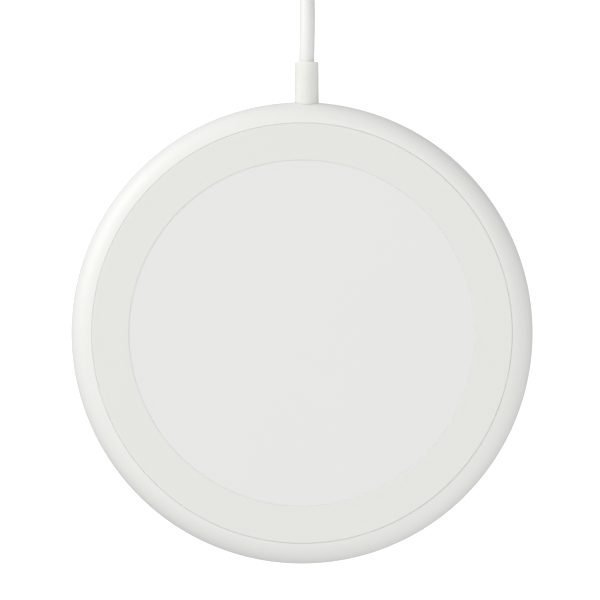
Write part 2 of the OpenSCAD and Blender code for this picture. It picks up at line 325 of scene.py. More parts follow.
@dataclass(frozen=True)
class Finish:
    """The finish of one material: its colour, its grain and how it takes the light.

    Sizes of grain are given as scales of Blender's noise on object coordinates in metres.
    """

    name: str
    colour: Colour
    roughness: float = 0.5
    roughness_spread: float = 0.12
    tone_spread: float = 0.03
    grain_scale: float = 2600
    patch_scale: float = 45
    bump: float = 0.04
    grain_height: float = 0.00004
    specks: float = 0.0
    speck_colour: Colour = (196, 196, 188)
    subsurface: float = 0.0
    scatter_depth: float = 0.001
    neutral_scatter: Point = (1.0, 1.0, 0.9)
    coat: float = 0.0
    metallic: float = 0.0
    sheen: float = 0.0
    stretch: Point = (1.0, 1.0, 1.0)

    def build(self, groups: Groups) -> bpy.types.Material:
        """Makes the material.

        Args:
            groups: the shared shader groups.

        Returns:
            The new material.
        """
        material = bpy.data.materials.new(self.name)
        material.use_nodes = True
        nodes = Nodes(material.node_tree)
        surface = material.node_tree.nodes["Principled BSDF"]
        place = nodes.add("ShaderNodeTexCoord")
        mapping = nodes.add("ShaderNodeMapping", {"Vector": place.outputs["Object"], "Scale": self.stretch})
        grain_values = {
            "Vector": mapping.outputs[0],
            "Grain Scale": self.grain_scale,
            "Patch Scale": self.patch_scale,
            "Tone Spread": self.tone_spread,
            "Roughness": self.roughness,
            "Roughness Spread": self.roughness_spread,
        }
        grain = nodes.add("ShaderNodeGroup", grain_values, node_tree=groups.grain)
        tint_values = {0: linear(self.colour)[:3], "Scale": grain.outputs["Tone"]}
        colour = nodes.add("ShaderNodeVectorMath", tint_values, operation="SCALE").outputs[0]
        if self.specks:
            colour = self.dusted(nodes, groups, mapping.outputs[0], colour)
        bump_values = {
            "Strength": self.bump,
            "Distance": self.grain_height,
            "Height": grain.outputs["Height"],
        }
        surface_values = {
            "Base Color": colour,
            "Roughness": grain.outputs["Roughness"],
            "Normal": nodes.add("ShaderNodeBump", bump_values).outputs[0],
            "Subsurface Weight": self.subsurface,
            "Subsurface Radius": self.neutral_scatter,
            "Subsurface Scale": self.scatter_depth,
            "Coat Weight": self.coat,
            "Metallic": self.metallic,
            "Sheen Weight": self.sheen,
        }
        nodes.feed(surface, surface_values)
        return material

    def dusted(
        self, nodes: Nodes, groups: Groups, vector: bpy.types.NodeSocket, colour: bpy.types.NodeSocket
    ) -> bpy.types.NodeSocket:
        """Lays specks of dust over a colour.

        Args:
            nodes: the material's helper.
            groups: the shared shader groups.
            vector: where on the piece the pattern is read.
            colour: the colour under the dust.

        Returns:
            The mixed colour.
        """
        spread = {"Vector": vector, "Share": self.specks}
        dust = nodes.add("ShaderNodeGroup", spread, node_tree=groups.specks)
        shades = {"Factor": dust.outputs["Specks"], "A": colour, "B": linear(self.speck_colour)}
        mix = nodes.add("ShaderNodeMix", shades, data_type="RGBA")
        return mix.outputs["Result"]


class Look(Enum):
    """Every finish on the pad, its cord and its plug, named for where it goes."""

    HOUSING = Finish("housing_white", (229, 229, 226), roughness=0.42, grain_scale=1500, tone_spread=0.015)
    BASE = Finish("base_white", (224, 224, 222), roughness=0.6, bump=0.12, grain_scale=1800)
    PLATE = Finish("plate_white", (226, 226, 224), roughness=0.55, bump=0.1, grain_scale=2400)
    GRIP = Finish(
        "grip_silicone", (225, 226, 221), roughness=0.72, bump=0.08, subsurface=0.15, sheen=0.05
    )
    FOOT = Finish("foot_silicone", (214, 215, 208), roughness=0.78, bump=0.1, specks=0.12, subsurface=0.1)
    FILM = Finish("adhesive_film", (216, 214, 200), roughness=0.5)
    TAPE = Finish("amber_tape", (206, 160, 70), roughness=0.28, coat=0.3, tone_spread=0.1)
    SCREW = Finish(
        "screw_steel", (190, 192, 194), roughness=0.32, metallic=1.0, tone_spread=0.1, grain_scale=900
    )
    COPPER = Finish(
        "copper_litz", (205, 120, 74), roughness=0.34, metallic=1.0, tone_spread=0.3, grain_scale=3000
    )
    FERRITE = Finish(
        "ferrite_grey", (58, 58, 60), roughness=0.62, bump=0.3, grain_scale=1200, tone_spread=0.3
    )
    BOARD = Finish(
        "board_green", (16, 92, 58), roughness=0.35, coat=0.4, tone_spread=0.25, patch_scale=160
    )
    CHIP = Finish("chip_black", (34, 34, 36), roughness=0.5, bump=0.2, tone_spread=0.2)
    CERAMIC = Finish("ceramic_tan", (176, 140, 98), roughness=0.48, tone_spread=0.2)
    WEIGHT = Finish(
        "weight_steel", (172, 174, 178), roughness=0.38, metallic=1.0, tone_spread=0.12,
        stretch=(1.0, 12.0, 1.0),
    )
    SLEEVE = Finish(
        "sleeve_rubber", (228, 228, 223), roughness=0.4, grain_scale=700, subsurface=0.7, tone_spread=0.08,
        stretch=(1.0, 0.15, 1.0),
    )
    CORD = Finish("cord_jacket", (230, 230, 228), roughness=0.45, grain_scale=1200, subsurface=0.1)
    RED = Finish("wire_red", (186, 30, 26), roughness=0.4, tone_spread=0.08)
    BLACK = Finish("wire_black", (30, 30, 31), roughness=0.4, tone_spread=0.2)
    GREEN = Finish("wire_green", (40, 130, 62), roughness=0.4, tone_spread=0.08)
    TIE = Finish("tie_plastic", (226, 226, 226), roughness=0.38, tone_spread=0.04)
    PLUG = Finish("plug_plastic", (228, 228, 226), roughness=0.4, bump=0.08, grain_scale=1700)
    PLUG_STEEL = Finish(
        "plug_steel", (196, 198, 202), roughness=0.26, metallic=1.0, tone_spread=0.08,
        stretch=(14.0, 1.0, 1.0),
    )
    INSULATOR = Finish("white_insulator", (230, 230, 230), roughness=0.45)
    TIN = Finish("tinned_end", (206, 206, 204), roughness=0.3, metallic=1.0, tone_spread=0.15)
    GOLD = Finish("gold_contact", (226, 184, 96), roughness=0.22, metallic=1.0, tone_spread=0.1)


class Paints:
    """Makes each finish once and hands it out."""

    def __init__(self) -> None:
        """Starts with the shared groups and no materials."""
        self.groups = Groups()
        self.made: dict[Look, bpy.types.Material] = {}

    def of(self, look: Look) -> bpy.types.Material:
        """Gives the material of a look, made the first time it is asked for."""
        if look not in self.made:
            self.made[look] = look.value.build(self.groups)
        return self.made[look]


def placed(name: str, data: bpy.types.ID) -> bpy.types.Object:
    """Puts a new object in the scene, at the origin.

    Args:
        name: the object's name.
        data: its mesh, curve, light or camera.

    Returns:
        The object.
    """
    made = bpy.data.objects.new(name, data)
    bpy.context.scene.collection.objects.link(made)
    return made


# ---- geometry trees ----


class GeometryTree:
    """A geometry node tree with named inputs, run once on an object and then gone."""

    def __init__(self, name: str, inputs: dict[str, tuple[str, object]]) -> None:
        """Makes the tree's sockets.

        Args:
            name: the tree's name.
            inputs: for each named input, its socket type and default value.
        """
        self.tree = bpy.data.node_groups.new(name, "GeometryNodeTree")
        face = self.tree.interface
        face.new_socket(name="Geometry", in_out="INPUT", socket_type="NodeSocketGeometry")
        self.names: dict[str, str] = {}
        for label, (kind, default) in inputs.items():
            socket = face.new_socket(name=label, in_out="INPUT", socket_type=kind)
            if default is not None:
                socket.default_value = default
            self.names[label] = socket.identifier
        socket = face.new_socket(name="Material", in_out="INPUT", socket_type="NodeSocketMaterial")
        self.names["Material"] = socket.identifier
        face.new_socket(name="Geometry", in_out="OUTPUT", socket_type="NodeSocketGeometry")
        self.nodes = Nodes(self.tree)
        self.given = self.nodes.add("NodeGroupInput")

    def close(self, geometry: bpy.types.NodeSocket) -> None:
        """Ends the tree with smooth shading, real instances and its material.

        Args:
            geometry: the socket that carries the finished shape.
        """
        nodes = self.nodes
        smooth = nodes.add("GeometryNodeSetShadeSmooth", {"Geometry": geometry})
        real = nodes.add("GeometryNodeRealizeInstances", {"Geometry": smooth.outputs[0]})
        finish = {"Geometry": real.outputs[0], "Material": self.given.outputs["Material"]}
        paint = nodes.add("GeometryNodeSetMaterial", finish)
        nodes.add("NodeGroupOutput", {0: paint.outputs[0]})

    def run(self, host: bpy.types.Object, name: str, values: dict[str, object]) -> bpy.types.Object:
        """Runs the tree on an object and keeps only the plain mesh.

        Args:
            host: the object whose geometry the tree is given; it is removed.
            name: the new piece's name.
            values: a value for each named input that is set.

        Returns:
            The finished piece.
        """
        modifier = host.modifiers.new("shape", "NODES")
        modifier.node_group = self.tree
        for label, value in values.items():
            modifier[self.names[label]] = value
        bpy.context.view_layer.update()
        seen = host.evaluated_get(bpy.context.evaluated_depsgraph_get())
        mesh = bpy.data.meshes.new_from_object(seen)
        mesh.name = name
        host.modifiers.clear()
        bpy.data.objects.remove(host)
        return placed(name, mesh)


def lathe_tree() -> GeometryTree:
    """A lathe: turns a flat outline round the upright axis.

    Returns:
        The tree; its inputs are Guide Radius, Segments and Material.
    """
    tree = GeometryTree(
        "Lathe", {"Guide Radius": ("NodeSocketFloat", 0.01), "Segments": ("NodeSocketInt", 256)}
    )
    nodes, given = tree.nodes, tree.given.outputs
    guide = {"Resolution": given["Segments"], "Radius": given["Guide Radius"]}
    ring = nodes.add("GeometryNodeCurvePrimitiveCircle", guide)
    course = {"Curve": ring.outputs[0], "Profile Curve": given["Geometry"]}
    sweep = nodes.add("GeometryNodeCurveToMesh", course)
    merge = nodes.add("GeometryNodeMergeByDistance", {"Geometry": sweep.outputs[0], "Distance": 1e-7})
    tree.close(merge.outputs[0])
    return tree


def winding_tree() -> GeometryTree:
    """A flat spiral of stranded wire: a lobed section that twists along the spiral.

    Returns:
        The tree; its inputs are Turns, Inner Radius, Outer Radius, Wire Radius, Strands, Twist
        and Material.
    """
    tree = GeometryTree(
        "Winding",
        {
            "Turns": ("NodeSocketFloat", 10.0),
            "Inner Radius": ("NodeSocketFloat", 0.011),
            "Outer Radius": ("NodeSocketFloat", 0.021),
            "Wire Radius": ("NodeSocketFloat", 0.0005),
            "Strands": ("NodeSocketInt", 7),
            "Twist": ("NodeSocketFloat", 900.0),
        },
    )
    nodes, given = tree.nodes, tree.given.outputs
    course = {
        "Resolution": 96,
        "Rotations": given["Turns"],
        "Start Radius": given["Inner Radius"],
        "End Radius": given["Outer Radius"],
        "Height": 0.0,
        "Reverse": True,
    }
    spiral = nodes.add("GeometryNodeCurveSpiral", course)
    along = nodes.add("GeometryNodeSplineParameter")
    twist = nodes.maths("MULTIPLY", along.outputs["Length"], given["Twist"])
    tilt = nodes.add("GeometryNodeSetCurveTilt", {"Curve": spiral.outputs[0], "Tilt": twist})
    section = {
        "Points": given["Strands"],
        "Outer Radius": given["Wire Radius"],
        "Inner Radius": nodes.maths("MULTIPLY", given["Wire Radius"], 0.8),
    }
    lobes = nodes.add("GeometryNodeCurveStar", section)
    skin = {"Curve": tilt.outputs[0], "Profile Curve": lobes.outputs[0], "Fill Caps": True}
    tree.close(nodes.add("GeometryNodeCurveToMesh", skin).outputs[0])
    return tree


def ring_row_tree() -> GeometryTree:
    """Copies of one part along a circle, each turned to face away from the middle.

    Returns:
        The tree; its inputs are Count, Radius, First Angle, Step Angle, Height and Material.
    """
    tree = GeometryTree(
        "Ring Row",
        {
            "Count": ("NodeSocketInt", 4),
            "Radius": ("NodeSocketFloat", 0.03),
            "First Angle": ("NodeSocketFloat", 0.0),
            "Step Angle": ("NodeSocketFloat", 0.5),
            "Height": ("NodeSocketFloat", 0.0),
        },
    )
    nodes, given = tree.nodes, tree.given.outputs
    index = nodes.add("GeometryNodeInputIndex").outputs[0]
    angle = nodes.maths("MULTIPLY_ADD", index, given["Step Angle"], given["First Angle"])
    spot = {
        "X": nodes.maths("MULTIPLY", nodes.maths("COSINE", angle), given["Radius"]),
        "Y": nodes.maths("MULTIPLY", nodes.maths("SINE", angle), given["Radius"]),
        "Z": given["Height"],
    }
    place = nodes.add("ShaderNodeCombineXYZ", spot)
    turn = nodes.add("ShaderNodeCombineXYZ", {"Z": angle})
    points = nodes.add("GeometryNodePoints", {"Count": given["Count"], "Position": place.outputs[0]})
    copy = {"Points": points.outputs[0], "Instance": given["Geometry"], "Rotation": turn.outputs[0]}
    tree.close(nodes.add("GeometryNodeInstanceOnPoints", copy).outputs[0])
    return tree


class Trees:
    """The geometry trees, each made once."""

    def __init__(self) -> None:
        """Builds every tree."""
        self.lathe = lathe_tree()
        self.winding = winding_tree()
        self.ring_row = ring_row_tree()


# ---- meshes ----


def supported(outline: Outline, closed: bool, gap: float = 0.00004) -> Outline:
    """Adds a point near each end of every long straight stretch, so that flats shade flat.

    Args:
        outline: the points.
        closed: whether the last point joins the first.
        gap: how far from the end the added points are.

    Returns:
        The outline with its added points.
    """
    result: Outline = []
    count = len(outline)
    for index, point in enumerate(outline):
        result.append(point)
        if index == count - 1 and not closed:
            break
        after = outline[(index + 1) % count]
        length = math.dist(point, after)
        if length > 6 * gap:
            for share in (gap / length, 1 - gap / length):
                result.append(tuple(here + (there - here) * share for here, there in zip(point, after)))
    return result


def outline_curve(name: str, outline: Outline, shift: float, closed: bool) -> bpy.types.Object:
    """A flat curve for the lathe.

    Args:
        name: the curve's name.
        outline: radius and height of each point, in metres.
        shift: the guide ring's radius, which the outline is measured from.
        closed: whether the outline is a closed one, or an open one from axis to axis.

    Returns:
        The curve object.
    """
    data = bpy.data.curves.new(name, "CURVE")
    data.dimensions = "3D"
    spline = data.splines.new("POLY")
    points = supported(outline, closed)
    spline.points.add(len(points) - 1)
    for point, (radius, height) in zip(spline.points, points):
        point.co = (radius - shift, -height, 0.0, 1.0)
    spline.use_cyclic_u = closed
    return placed(name, data)


def signed_volume(mesh: bpy.types.Mesh) -> float:
    """Measures a closed mesh, as a negative number where it is inside out."""
    shape = bmesh.new()
    shape.from_mesh(mesh)
    volume = shape.calc_volume(signed=True)
    shape.free()
    return volume


def outward(piece: bpy.types.Object) -> None:
    """Turns a closed piece's faces outwards if they point inwards."""
    if signed_volume(piece.data) < 0:
        piece.data.flip_normals()


def lathed(
    trees: Trees,
    name: str,
    outline: Outline,
    paint: bpy.types.Material,
    closed: bool = True,
    segments: int = 256,
) -> bpy.types.Object:
    """Turns an outline round the pad's axis.

    Args:
        trees: the geometry trees.
        name: the piece's name.
        outline: radius and height of each point, in metres.
        paint: its material.
        closed: false for an outline that starts and ends on the axis.
        segments: how many steps go round.

    Returns:
        The finished piece.
    """
    guide = 0.02
    host = outline_curve(name, outline, guide, closed)
    piece = trees.lathe.run(host, name, {"Guide Radius": guide, "Segments": segments, "Material": paint})
    outward(piece)
    return piece


def walled(shape: bmesh.types.BMesh, rings: list[list[bmesh.types.BMVert]], ends: str = "capped") -> None:
    """Joins each ring of vertices to the next.

    Args:
        shape: the mesh that is being made.
        rings: rings of equally many vertices.
        ends: capped for a solid, or looped where the last ring joins the first.
    """
    count = len(rings[0])
    after = rings[1:] + rings[:1] if ends == "looped" else rings[1:]
    for near, far in zip(rings, after):
        for index in range(count):
            following = (index + 1) % count
            shape.faces.new((near[index], near[following], far[following], far[index]))
    if ends == "capped":
        shape.faces.new(rings[0][::-1])
        shape.faces.new(rings[-1])


def lofted(name: str, rings: list[list[Vector]], paint: bpy.types.Material) -> bpy.types.Object:
    """Joins rings of points into a closed skin.

    Args:
        name: the piece's name.
        rings: rings of equally many points, from one end to the other.
        paint: its material.

    Returns:
        The finished piece.
    """
    shape = bmesh.new()
    walled(shape, [[shape.verts.new(point) for point in ring] for ring in rings])
    bmesh.ops.remove_doubles(shape, verts=shape.verts, dist=1e-8)
    for face in shape.faces:
        face.smooth = True
    piece = solid(name, shape, paint)
    outward(piece)
    return piece


def eased(path: list[Vector], gap: float) -> list[Vector]:
    """Runs a smooth line through points.

    Args:
        path: the points.
        gap: about how far apart the new points are.

    Returns:
        The line's points.
    """
    ways = [(far - near).normalized() for near, far in zip(path, path[1:])]
    turns = [ways[0]] + [(back + on).normalized() for back, on in zip(ways, ways[1:])] + [ways[-1]]
    line = []
    for index, (near, far) in enumerate(zip(path, path[1:])):
        reach = (far - near).length
        count = max(3, round(reach / gap))
        held = (near + turns[index] * reach / 3, far - turns[index + 1] * reach / 3)
        line += interpolate_bezier(near, *held, far, count + 1)[:-1]
    return line + [path[-1]]


def wire(
    name: str, path: list[Vector], radius: float, paint: bpy.types.Material, strands: int = 0
) -> bpy.types.Object:
    """Draws a round wire along a path, twisted from strands where it has them.

    Args:
        name: the piece's name.
        path: the points it runs through.
        radius: its outer radius.
        paint: its material.
        strands: how many strands show round it.

    Returns:
        The wire.
    """
    sides, strand_depth, twist, gap = 28, 0.14, 0.09, 0.25 * MM
    line = eased(path, gap)
    rings = []
    for index, point in enumerate(line):
        way = (line[min(index + 1, len(line) - 1)] - line[max(index - 1, 0)]).normalized()
        side = way.cross(Vector((0, 0, 1))).normalized()
        up = side.cross(way)
        ring = []
        for step in range(sides):
            angle = math.tau * step / sides
            dip = 0.5 - 0.5 * math.cos(strands * (angle + index * twist))
            out = radius * (1 - strand_depth * dip)
            ring.append(point + side * out * math.cos(angle) + up * out * math.sin(angle))
        rings.append(ring)
    return lofted(name, rings, paint)


def sharpen(piece: bpy.types.Object, degrees: float = 32.0, axes: str = "z") -> None:
    """Shades a piece smooth, but keeps its sharper edges crisp and its flats flat.

    Args:
        piece: the finished piece.
        degrees: edges sharper than this stay crisp.
        axes: the axes whose square-on faces are flats.
    """
    places = ["xyz".index(axis) for axis in axes]
    for face in piece.data.polygons:
        face.use_smooth = not any(abs(face.normal[place]) > 0.99999 for place in places)
    piece.data.set_sharp_from_angle(angle=math.radians(degrees))


def solid(name: str, shape: bmesh.types.BMesh, paint: bpy.types.Material | None = None) -> bpy.types.Object:
    """Turns a closed shape into an object, with its faces outwards, and frees the shape.

    Args:
        name: the object's name.
        shape: the shape.
        paint: its material, if it keeps one.

    Returns:
        The new object.
    """
    bmesh.ops.recalc_face_normals(shape, faces=shape.faces)
    mesh = bpy.data.meshes.new(name)
    shape.to_mesh(mesh)
    shape.free()
    if paint:
        mesh.materials.append(paint)
    return placed(name, mesh)


def post(base: Vector, radius: float, height: float) -> bpy.types.Object:
    """Makes a plain round post, used to build or cut another piece.

    Args:
        base: the middle of its foot.
        radius: its radius.
        height: its height.

    Returns:
        A temporary object.
    """
    shape = bmesh.new()
    bmesh.ops.create_cone(shape, cap_ends=True, segments=48, radius1=radius, radius2=radius, depth=height)
    bmesh.ops.translate(shape, verts=shape.verts, vec=base + Vector((0, 0, height / 2)))
    return solid("post", shape)


def laid(piece: bpy.types.Object) -> None:
    """Lays an upright piece along the cord's way out, its heights measured from the pad's middle."""
    place = mount_place("cord_exit")
    turn = Matrix.Rotation(-math.pi / 2, 4, "X")
    piece.data.transform(Matrix.Translation((place.x, 0, place.z)) @ turn)


def prism(outline: Outline, low: float, high: float, taper: float = 1.0) -> bmesh.types.BMesh:
    """Raises a flat outline into a closed prism.

    Args:
        outline: its corners, anticlockwise.
        low: the height of its foot.
        high: the height of its top.
        taper: how much of its width is left at the top.

    Returns:
        The shape.
    """
    shape = bmesh.new()
    foot = [shape.verts.new((x, y, low)) for x, y in outline]
    top = [shape.verts.new((x * taper, y * taper, high)) for x, y in outline]
    walled(shape, [foot, top])
    return shape


def combine(piece: bpy.types.Object, tool: bpy.types.Object, operation: str) -> None:
    """Adds or cuts one solid, and removes the tool.

    Args:
        piece: the piece that is changed.
        tool: the solid that is added or cut away.
        operation: UNION or DIFFERENCE.
    """
    modifier = piece.modifiers.new("combine", "BOOLEAN")
    modifier.operation = operation
    modifier.solver = "EXACT"
    modifier.object = tool
    baked(piece)
    bpy.data.objects.remove(tool)


def softened(piece: bpy.types.Object, width: float) -> None:
    """Rounds every sharp edge.

    Args:
        piece: the piece that is changed.
        width: how far the rounding reaches.
    """
    modifier = piece.modifiers.new("round", "BEVEL")
    modifier.width = width
    modifier.segments = 2
    modifier.limit_method = "ANGLE"
    modifier.angle_limit = math.radians(40)
    baked(piece)


def baked(piece: bpy.types.Object) -> None:
    """Puts a piece's modifiers into its mesh."""
    bpy.context.view_layer.update()
    seen = piece.evaluated_get(bpy.context.evaluated_depsgraph_get())
    mesh = bpy.data.meshes.new_from_object(seen)
    piece.modifiers.clear()
    piece.data = mesh


def joined(name: str, pieces: list[bpy.types.Object]) -> bpy.types.Object:
    """Makes one object of several that share a material.

    Args:
        name: the new object's name.
        pieces: the objects, which are removed.

    Returns:
        The joined object.
    """
    shape = bmesh.new()
    paint = pieces[0].data.materials[0]
    for piece in pieces:
        shape.from_mesh(piece.data)
        bpy.data.objects.remove(piece)
    return solid(name, shape, paint)


def fitted(piece: bpy.types.Object, slot: str, replaced: tuple[str, ...] = ()) -> bpy.types.Object:
    """Fixes a piece to the pad's one body, and says what it stands for.

    Args:
        piece: the finished piece.
        slot: the record's material slot; not used.
        replaced: the CAD nodes that it stands for.

    Returns:
        The same piece.
    """
    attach(piece, BODY)
    if replaced:
        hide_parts(*replaced)
    LOG.info("%s: %s", piece.name, "made" if not replaced else "stands for " + ", ".join(replaced))
    return piece


# ---- the studio ----


@dataclass(frozen=True)
class Softbox:
    """One large round soft light that hangs a metre away and shines at the pad."""

    name: str
    azimuth: float
    elevation: float
    power: float
    width: float = 0.8

    def hang(self) -> None:
        """Adds the light."""
        data = bpy.data.lights.new(self.name, "AREA")
        data.shape = "DISK"
        data.size = self.width
        data.energy = self.power
        turn, rise = math.radians(self.azimuth), math.radians(self.elevation)
        flat = math.cos(rise)
        place = Vector((flat * math.cos(turn), flat * math.sin(turn), math.sin(rise)))
        lamp = placed(self.name, data)
        lamp.location = place
        lamp.rotation_euler = (-place).to_track_quat("-Z", "Y").to_euler()


@dataclass
class Studio:
    """A white table in soft even light, brightest from the upper left, seen from straight above."""

    lens: float = 276.5
    sensor: float = 36.0
    frame_width: float = 0.13003
    aim: tuple[float, float] = (-0.00043, 0.00714)
    lights: tuple[Softbox, ...] = (
        Softbox("key", 147, 15, 5.0),
        Softbox("top", 140, 80, 2.0),
        Softbox("fill", 315, 30, 1.6),
    )
    white: tuple[float, float, float, float] = (1.0, 1.0, 1.0, 1.0)
    sky: float = 0.68
    backdrop: float = 0.9
    table_tone: float = 0.35
    table_glow: float = 0.2
    seen_tone: float = 0.8
    seen_glow: float = 0.62

    def build(self) -> None:
        """Sets the camera, the lights, the sky and the table."""
        self.camera()
        for light in self.lights:
            light.hang()
        self.world()
        self.table()

    def camera(self) -> None:
        """Hangs the camera over the pad, looking straight down."""
        data = bpy.data.cameras.new("camera")
        data.lens = self.lens
        data.sensor_width = self.sensor
        data.clip_start = 0.01
        data.clip_end = 20.0
        distance = self.frame_width * self.lens / self.sensor
        camera = placed("camera", data)
        camera.location = (*self.aim, mount_place("cord_exit").z + distance)
        bpy.context.scene.camera = camera

    def world(self) -> None:
        """Fills the room with even light, which the camera sees as a paler backdrop."""
        world = bpy.data.worlds.new("studio")
        world.use_nodes = True
        nodes = Nodes(world.node_tree)
        room = world.node_tree.nodes["Background"]
        strength = self.by_sight(nodes, self.sky, self.backdrop)
        nodes.feed(room, {"Color": self.white, "Strength": strength})
        bpy.context.scene.world = world
        bpy.context.scene.view_settings.view_transform = "Standard"

    def by_sight(self, nodes: Nodes, unseen: float, seen: float) -> bpy.types.NodeSocket:
        """Gives one value to the light that falls on the pad, and another to the camera.

        Args:
            nodes: the helper of the studio's own material.
            unseen: the value for light on its way to the pad.
            seen: the value for the camera.

        Returns:
            The socket that carries the value.
        """
        sight = nodes.add("ShaderNodeLightPath").outputs["Is Camera Ray"]
        return nodes.maths("MULTIPLY_ADD", sight, seen - unseen, unseen)

    def table(self) -> None:
        """Lays the white table that everything stands on; it throws little light back up."""
        side = 3.0
        mesh = bpy.data.meshes.new("table")
        corners = [(-side, -side, 0.0), (side, -side, 0.0), (side, side, 0.0), (-side, side, 0.0)]
        mesh.from_pydata(corners, [], [(0, 1, 2, 3)])
        table = placed("table", mesh)
        material = bpy.data.materials.new("table_white")
        material.use_nodes = True
        nodes = Nodes(material.node_tree)
        surface = material.node_tree.nodes["Principled BSDF"]
        tone = self.by_sight(nodes, self.table_tone, self.seen_tone)
        glow = self.by_sight(nodes, self.table_glow, self.seen_glow)
        values = {
            "Base Color": tone,
            "Roughness": 0.9,
            "Specular IOR Level": 0.0,
            "Emission Color": self.white,
            "Emission Strength": glow,
        }
        nodes.feed(surface, values)
        mesh.materials.append(material)


# ---- the cord ----


@dataclass
class CordRun:
    """The captive cord: out of the sleeve, down to the table, ten turns of coil and on to the plug."""

    diameter: float = 3.3 * MM
    length: float = 1.15
    pitch: float = 3.35 * MM
    columns: tuple[int, ...] = (2, 1, 0, 0, 1, 2, 2, 1, 0, 0)
    layers: tuple[int, ...] = (0, 0, 0, 1, 1, 1, 2, 2, 2, 3)
    last_column: int = 2
    steps: int = 18
    climb_from: float = 0.5
    shift_from: float = 0.75
    lead_in: tuple[Point, ...] = (
        (1, 58.7, 5.1), (1.08, 62, 5.1), (1.15, 66, 4.7), (1.15, 70, 3.7), (1.08, 74, 2.6),
        (1, 78, 1.9), (1, 82, 1.67), (1, 85.7, 1.67), (1, 90, 1.75), (1, 94, 2.0),
    )
    lead_out: tuple[Point, ...] = (
        (1, 101, 12.15), (0.6, 104.2, 11.7), (-0.6, 107.3, 10), (-2.4, 109.9, 8.5),
        (-5, 112.1, 6.6), (-8.2, 113.5, 5), (-10.8, 114, 3.8), (-13, 114, 3.8),
    )

    def turns(self) -> list[Vector]:
        """Works out the coil's turns.

        Returns:
            Points along every turn, from the table side up.
        """
        coil = Span.of("cord_coil")
        middle = coil.middle
        inner = (coil.size.x / 2) - self.diameter / 2 - 2 * self.pitch
        base = coil.low.z + self.diameter / 2
        columns = (*self.columns, self.last_column)
        layers = (*self.layers, self.layers[-1])
        points = []
        for turn in range(len(self.columns)):
            last = turn == len(self.columns) - 1
            for step in range(self.steps):
                share = step / self.steps
                shift = smooth_step(share if last else (share - self.shift_from) / (1 - self.shift_from))
                climb = smooth_step((share - self.climb_from) / (self.shift_from - self.climb_from))
                column = columns[turn] + (columns[turn + 1] - columns[turn]) * shift
                layer = layers[turn] + (layers[turn + 1] - layers[turn]) * climb
                angle = math.pi - 2 * math.pi * share
                radius = inner + column * self.pitch
                points.append(
                    Vector((
                        middle.x + radius * math.cos(angle),
                        middle.y + radius * math.sin(angle),
                        base + layer * self.pitch,
                    ))
                )
        end = middle.x - inner - self.last_column * self.pitch
        points.append(Vector((end, middle.y, points[-1].z)))
        return points

    def route(self) -> list[Vector]:
        """The whole route, from the sleeve to the plug."""
        lead_in = [Vector(point) * MM for point in self.lead_in]
        lead_out = [Vector(point) * MM for point in self.lead_out]
        return lead_in + self.turns() + lead_out

    def build(self, paints: Paints) -> bpy.types.Object:
        """Makes the cord.

        Args:
            paints: the finishes.

        Returns:
            The cord, a curve of one open spline.
        """
        route = self.route()
        data = bpy.data.curves.new("cord_run", "CURVE")
        data.dimensions = "3D"
        data.resolution_u = 5
        data.bevel_depth = self.diameter / 2
        data.bevel_resolution = 5
        data.use_fill_caps = True
        spline = data.splines.new("BEZIER")
        spline.bezier_points.add(len(route) - 1)
        for knot, point in zip(spline.bezier_points, route):
            knot.co = point
            knot.handle_left_type = "AUTO"
            knot.handle_right_type = "AUTO"
        data.materials.append(paints.of(Look.CORD))
        cord = placed("cord_run", data)
        return fitted(cord, "cord_jacket", ("cord", "cord_coil", "cord_plug_lead"))


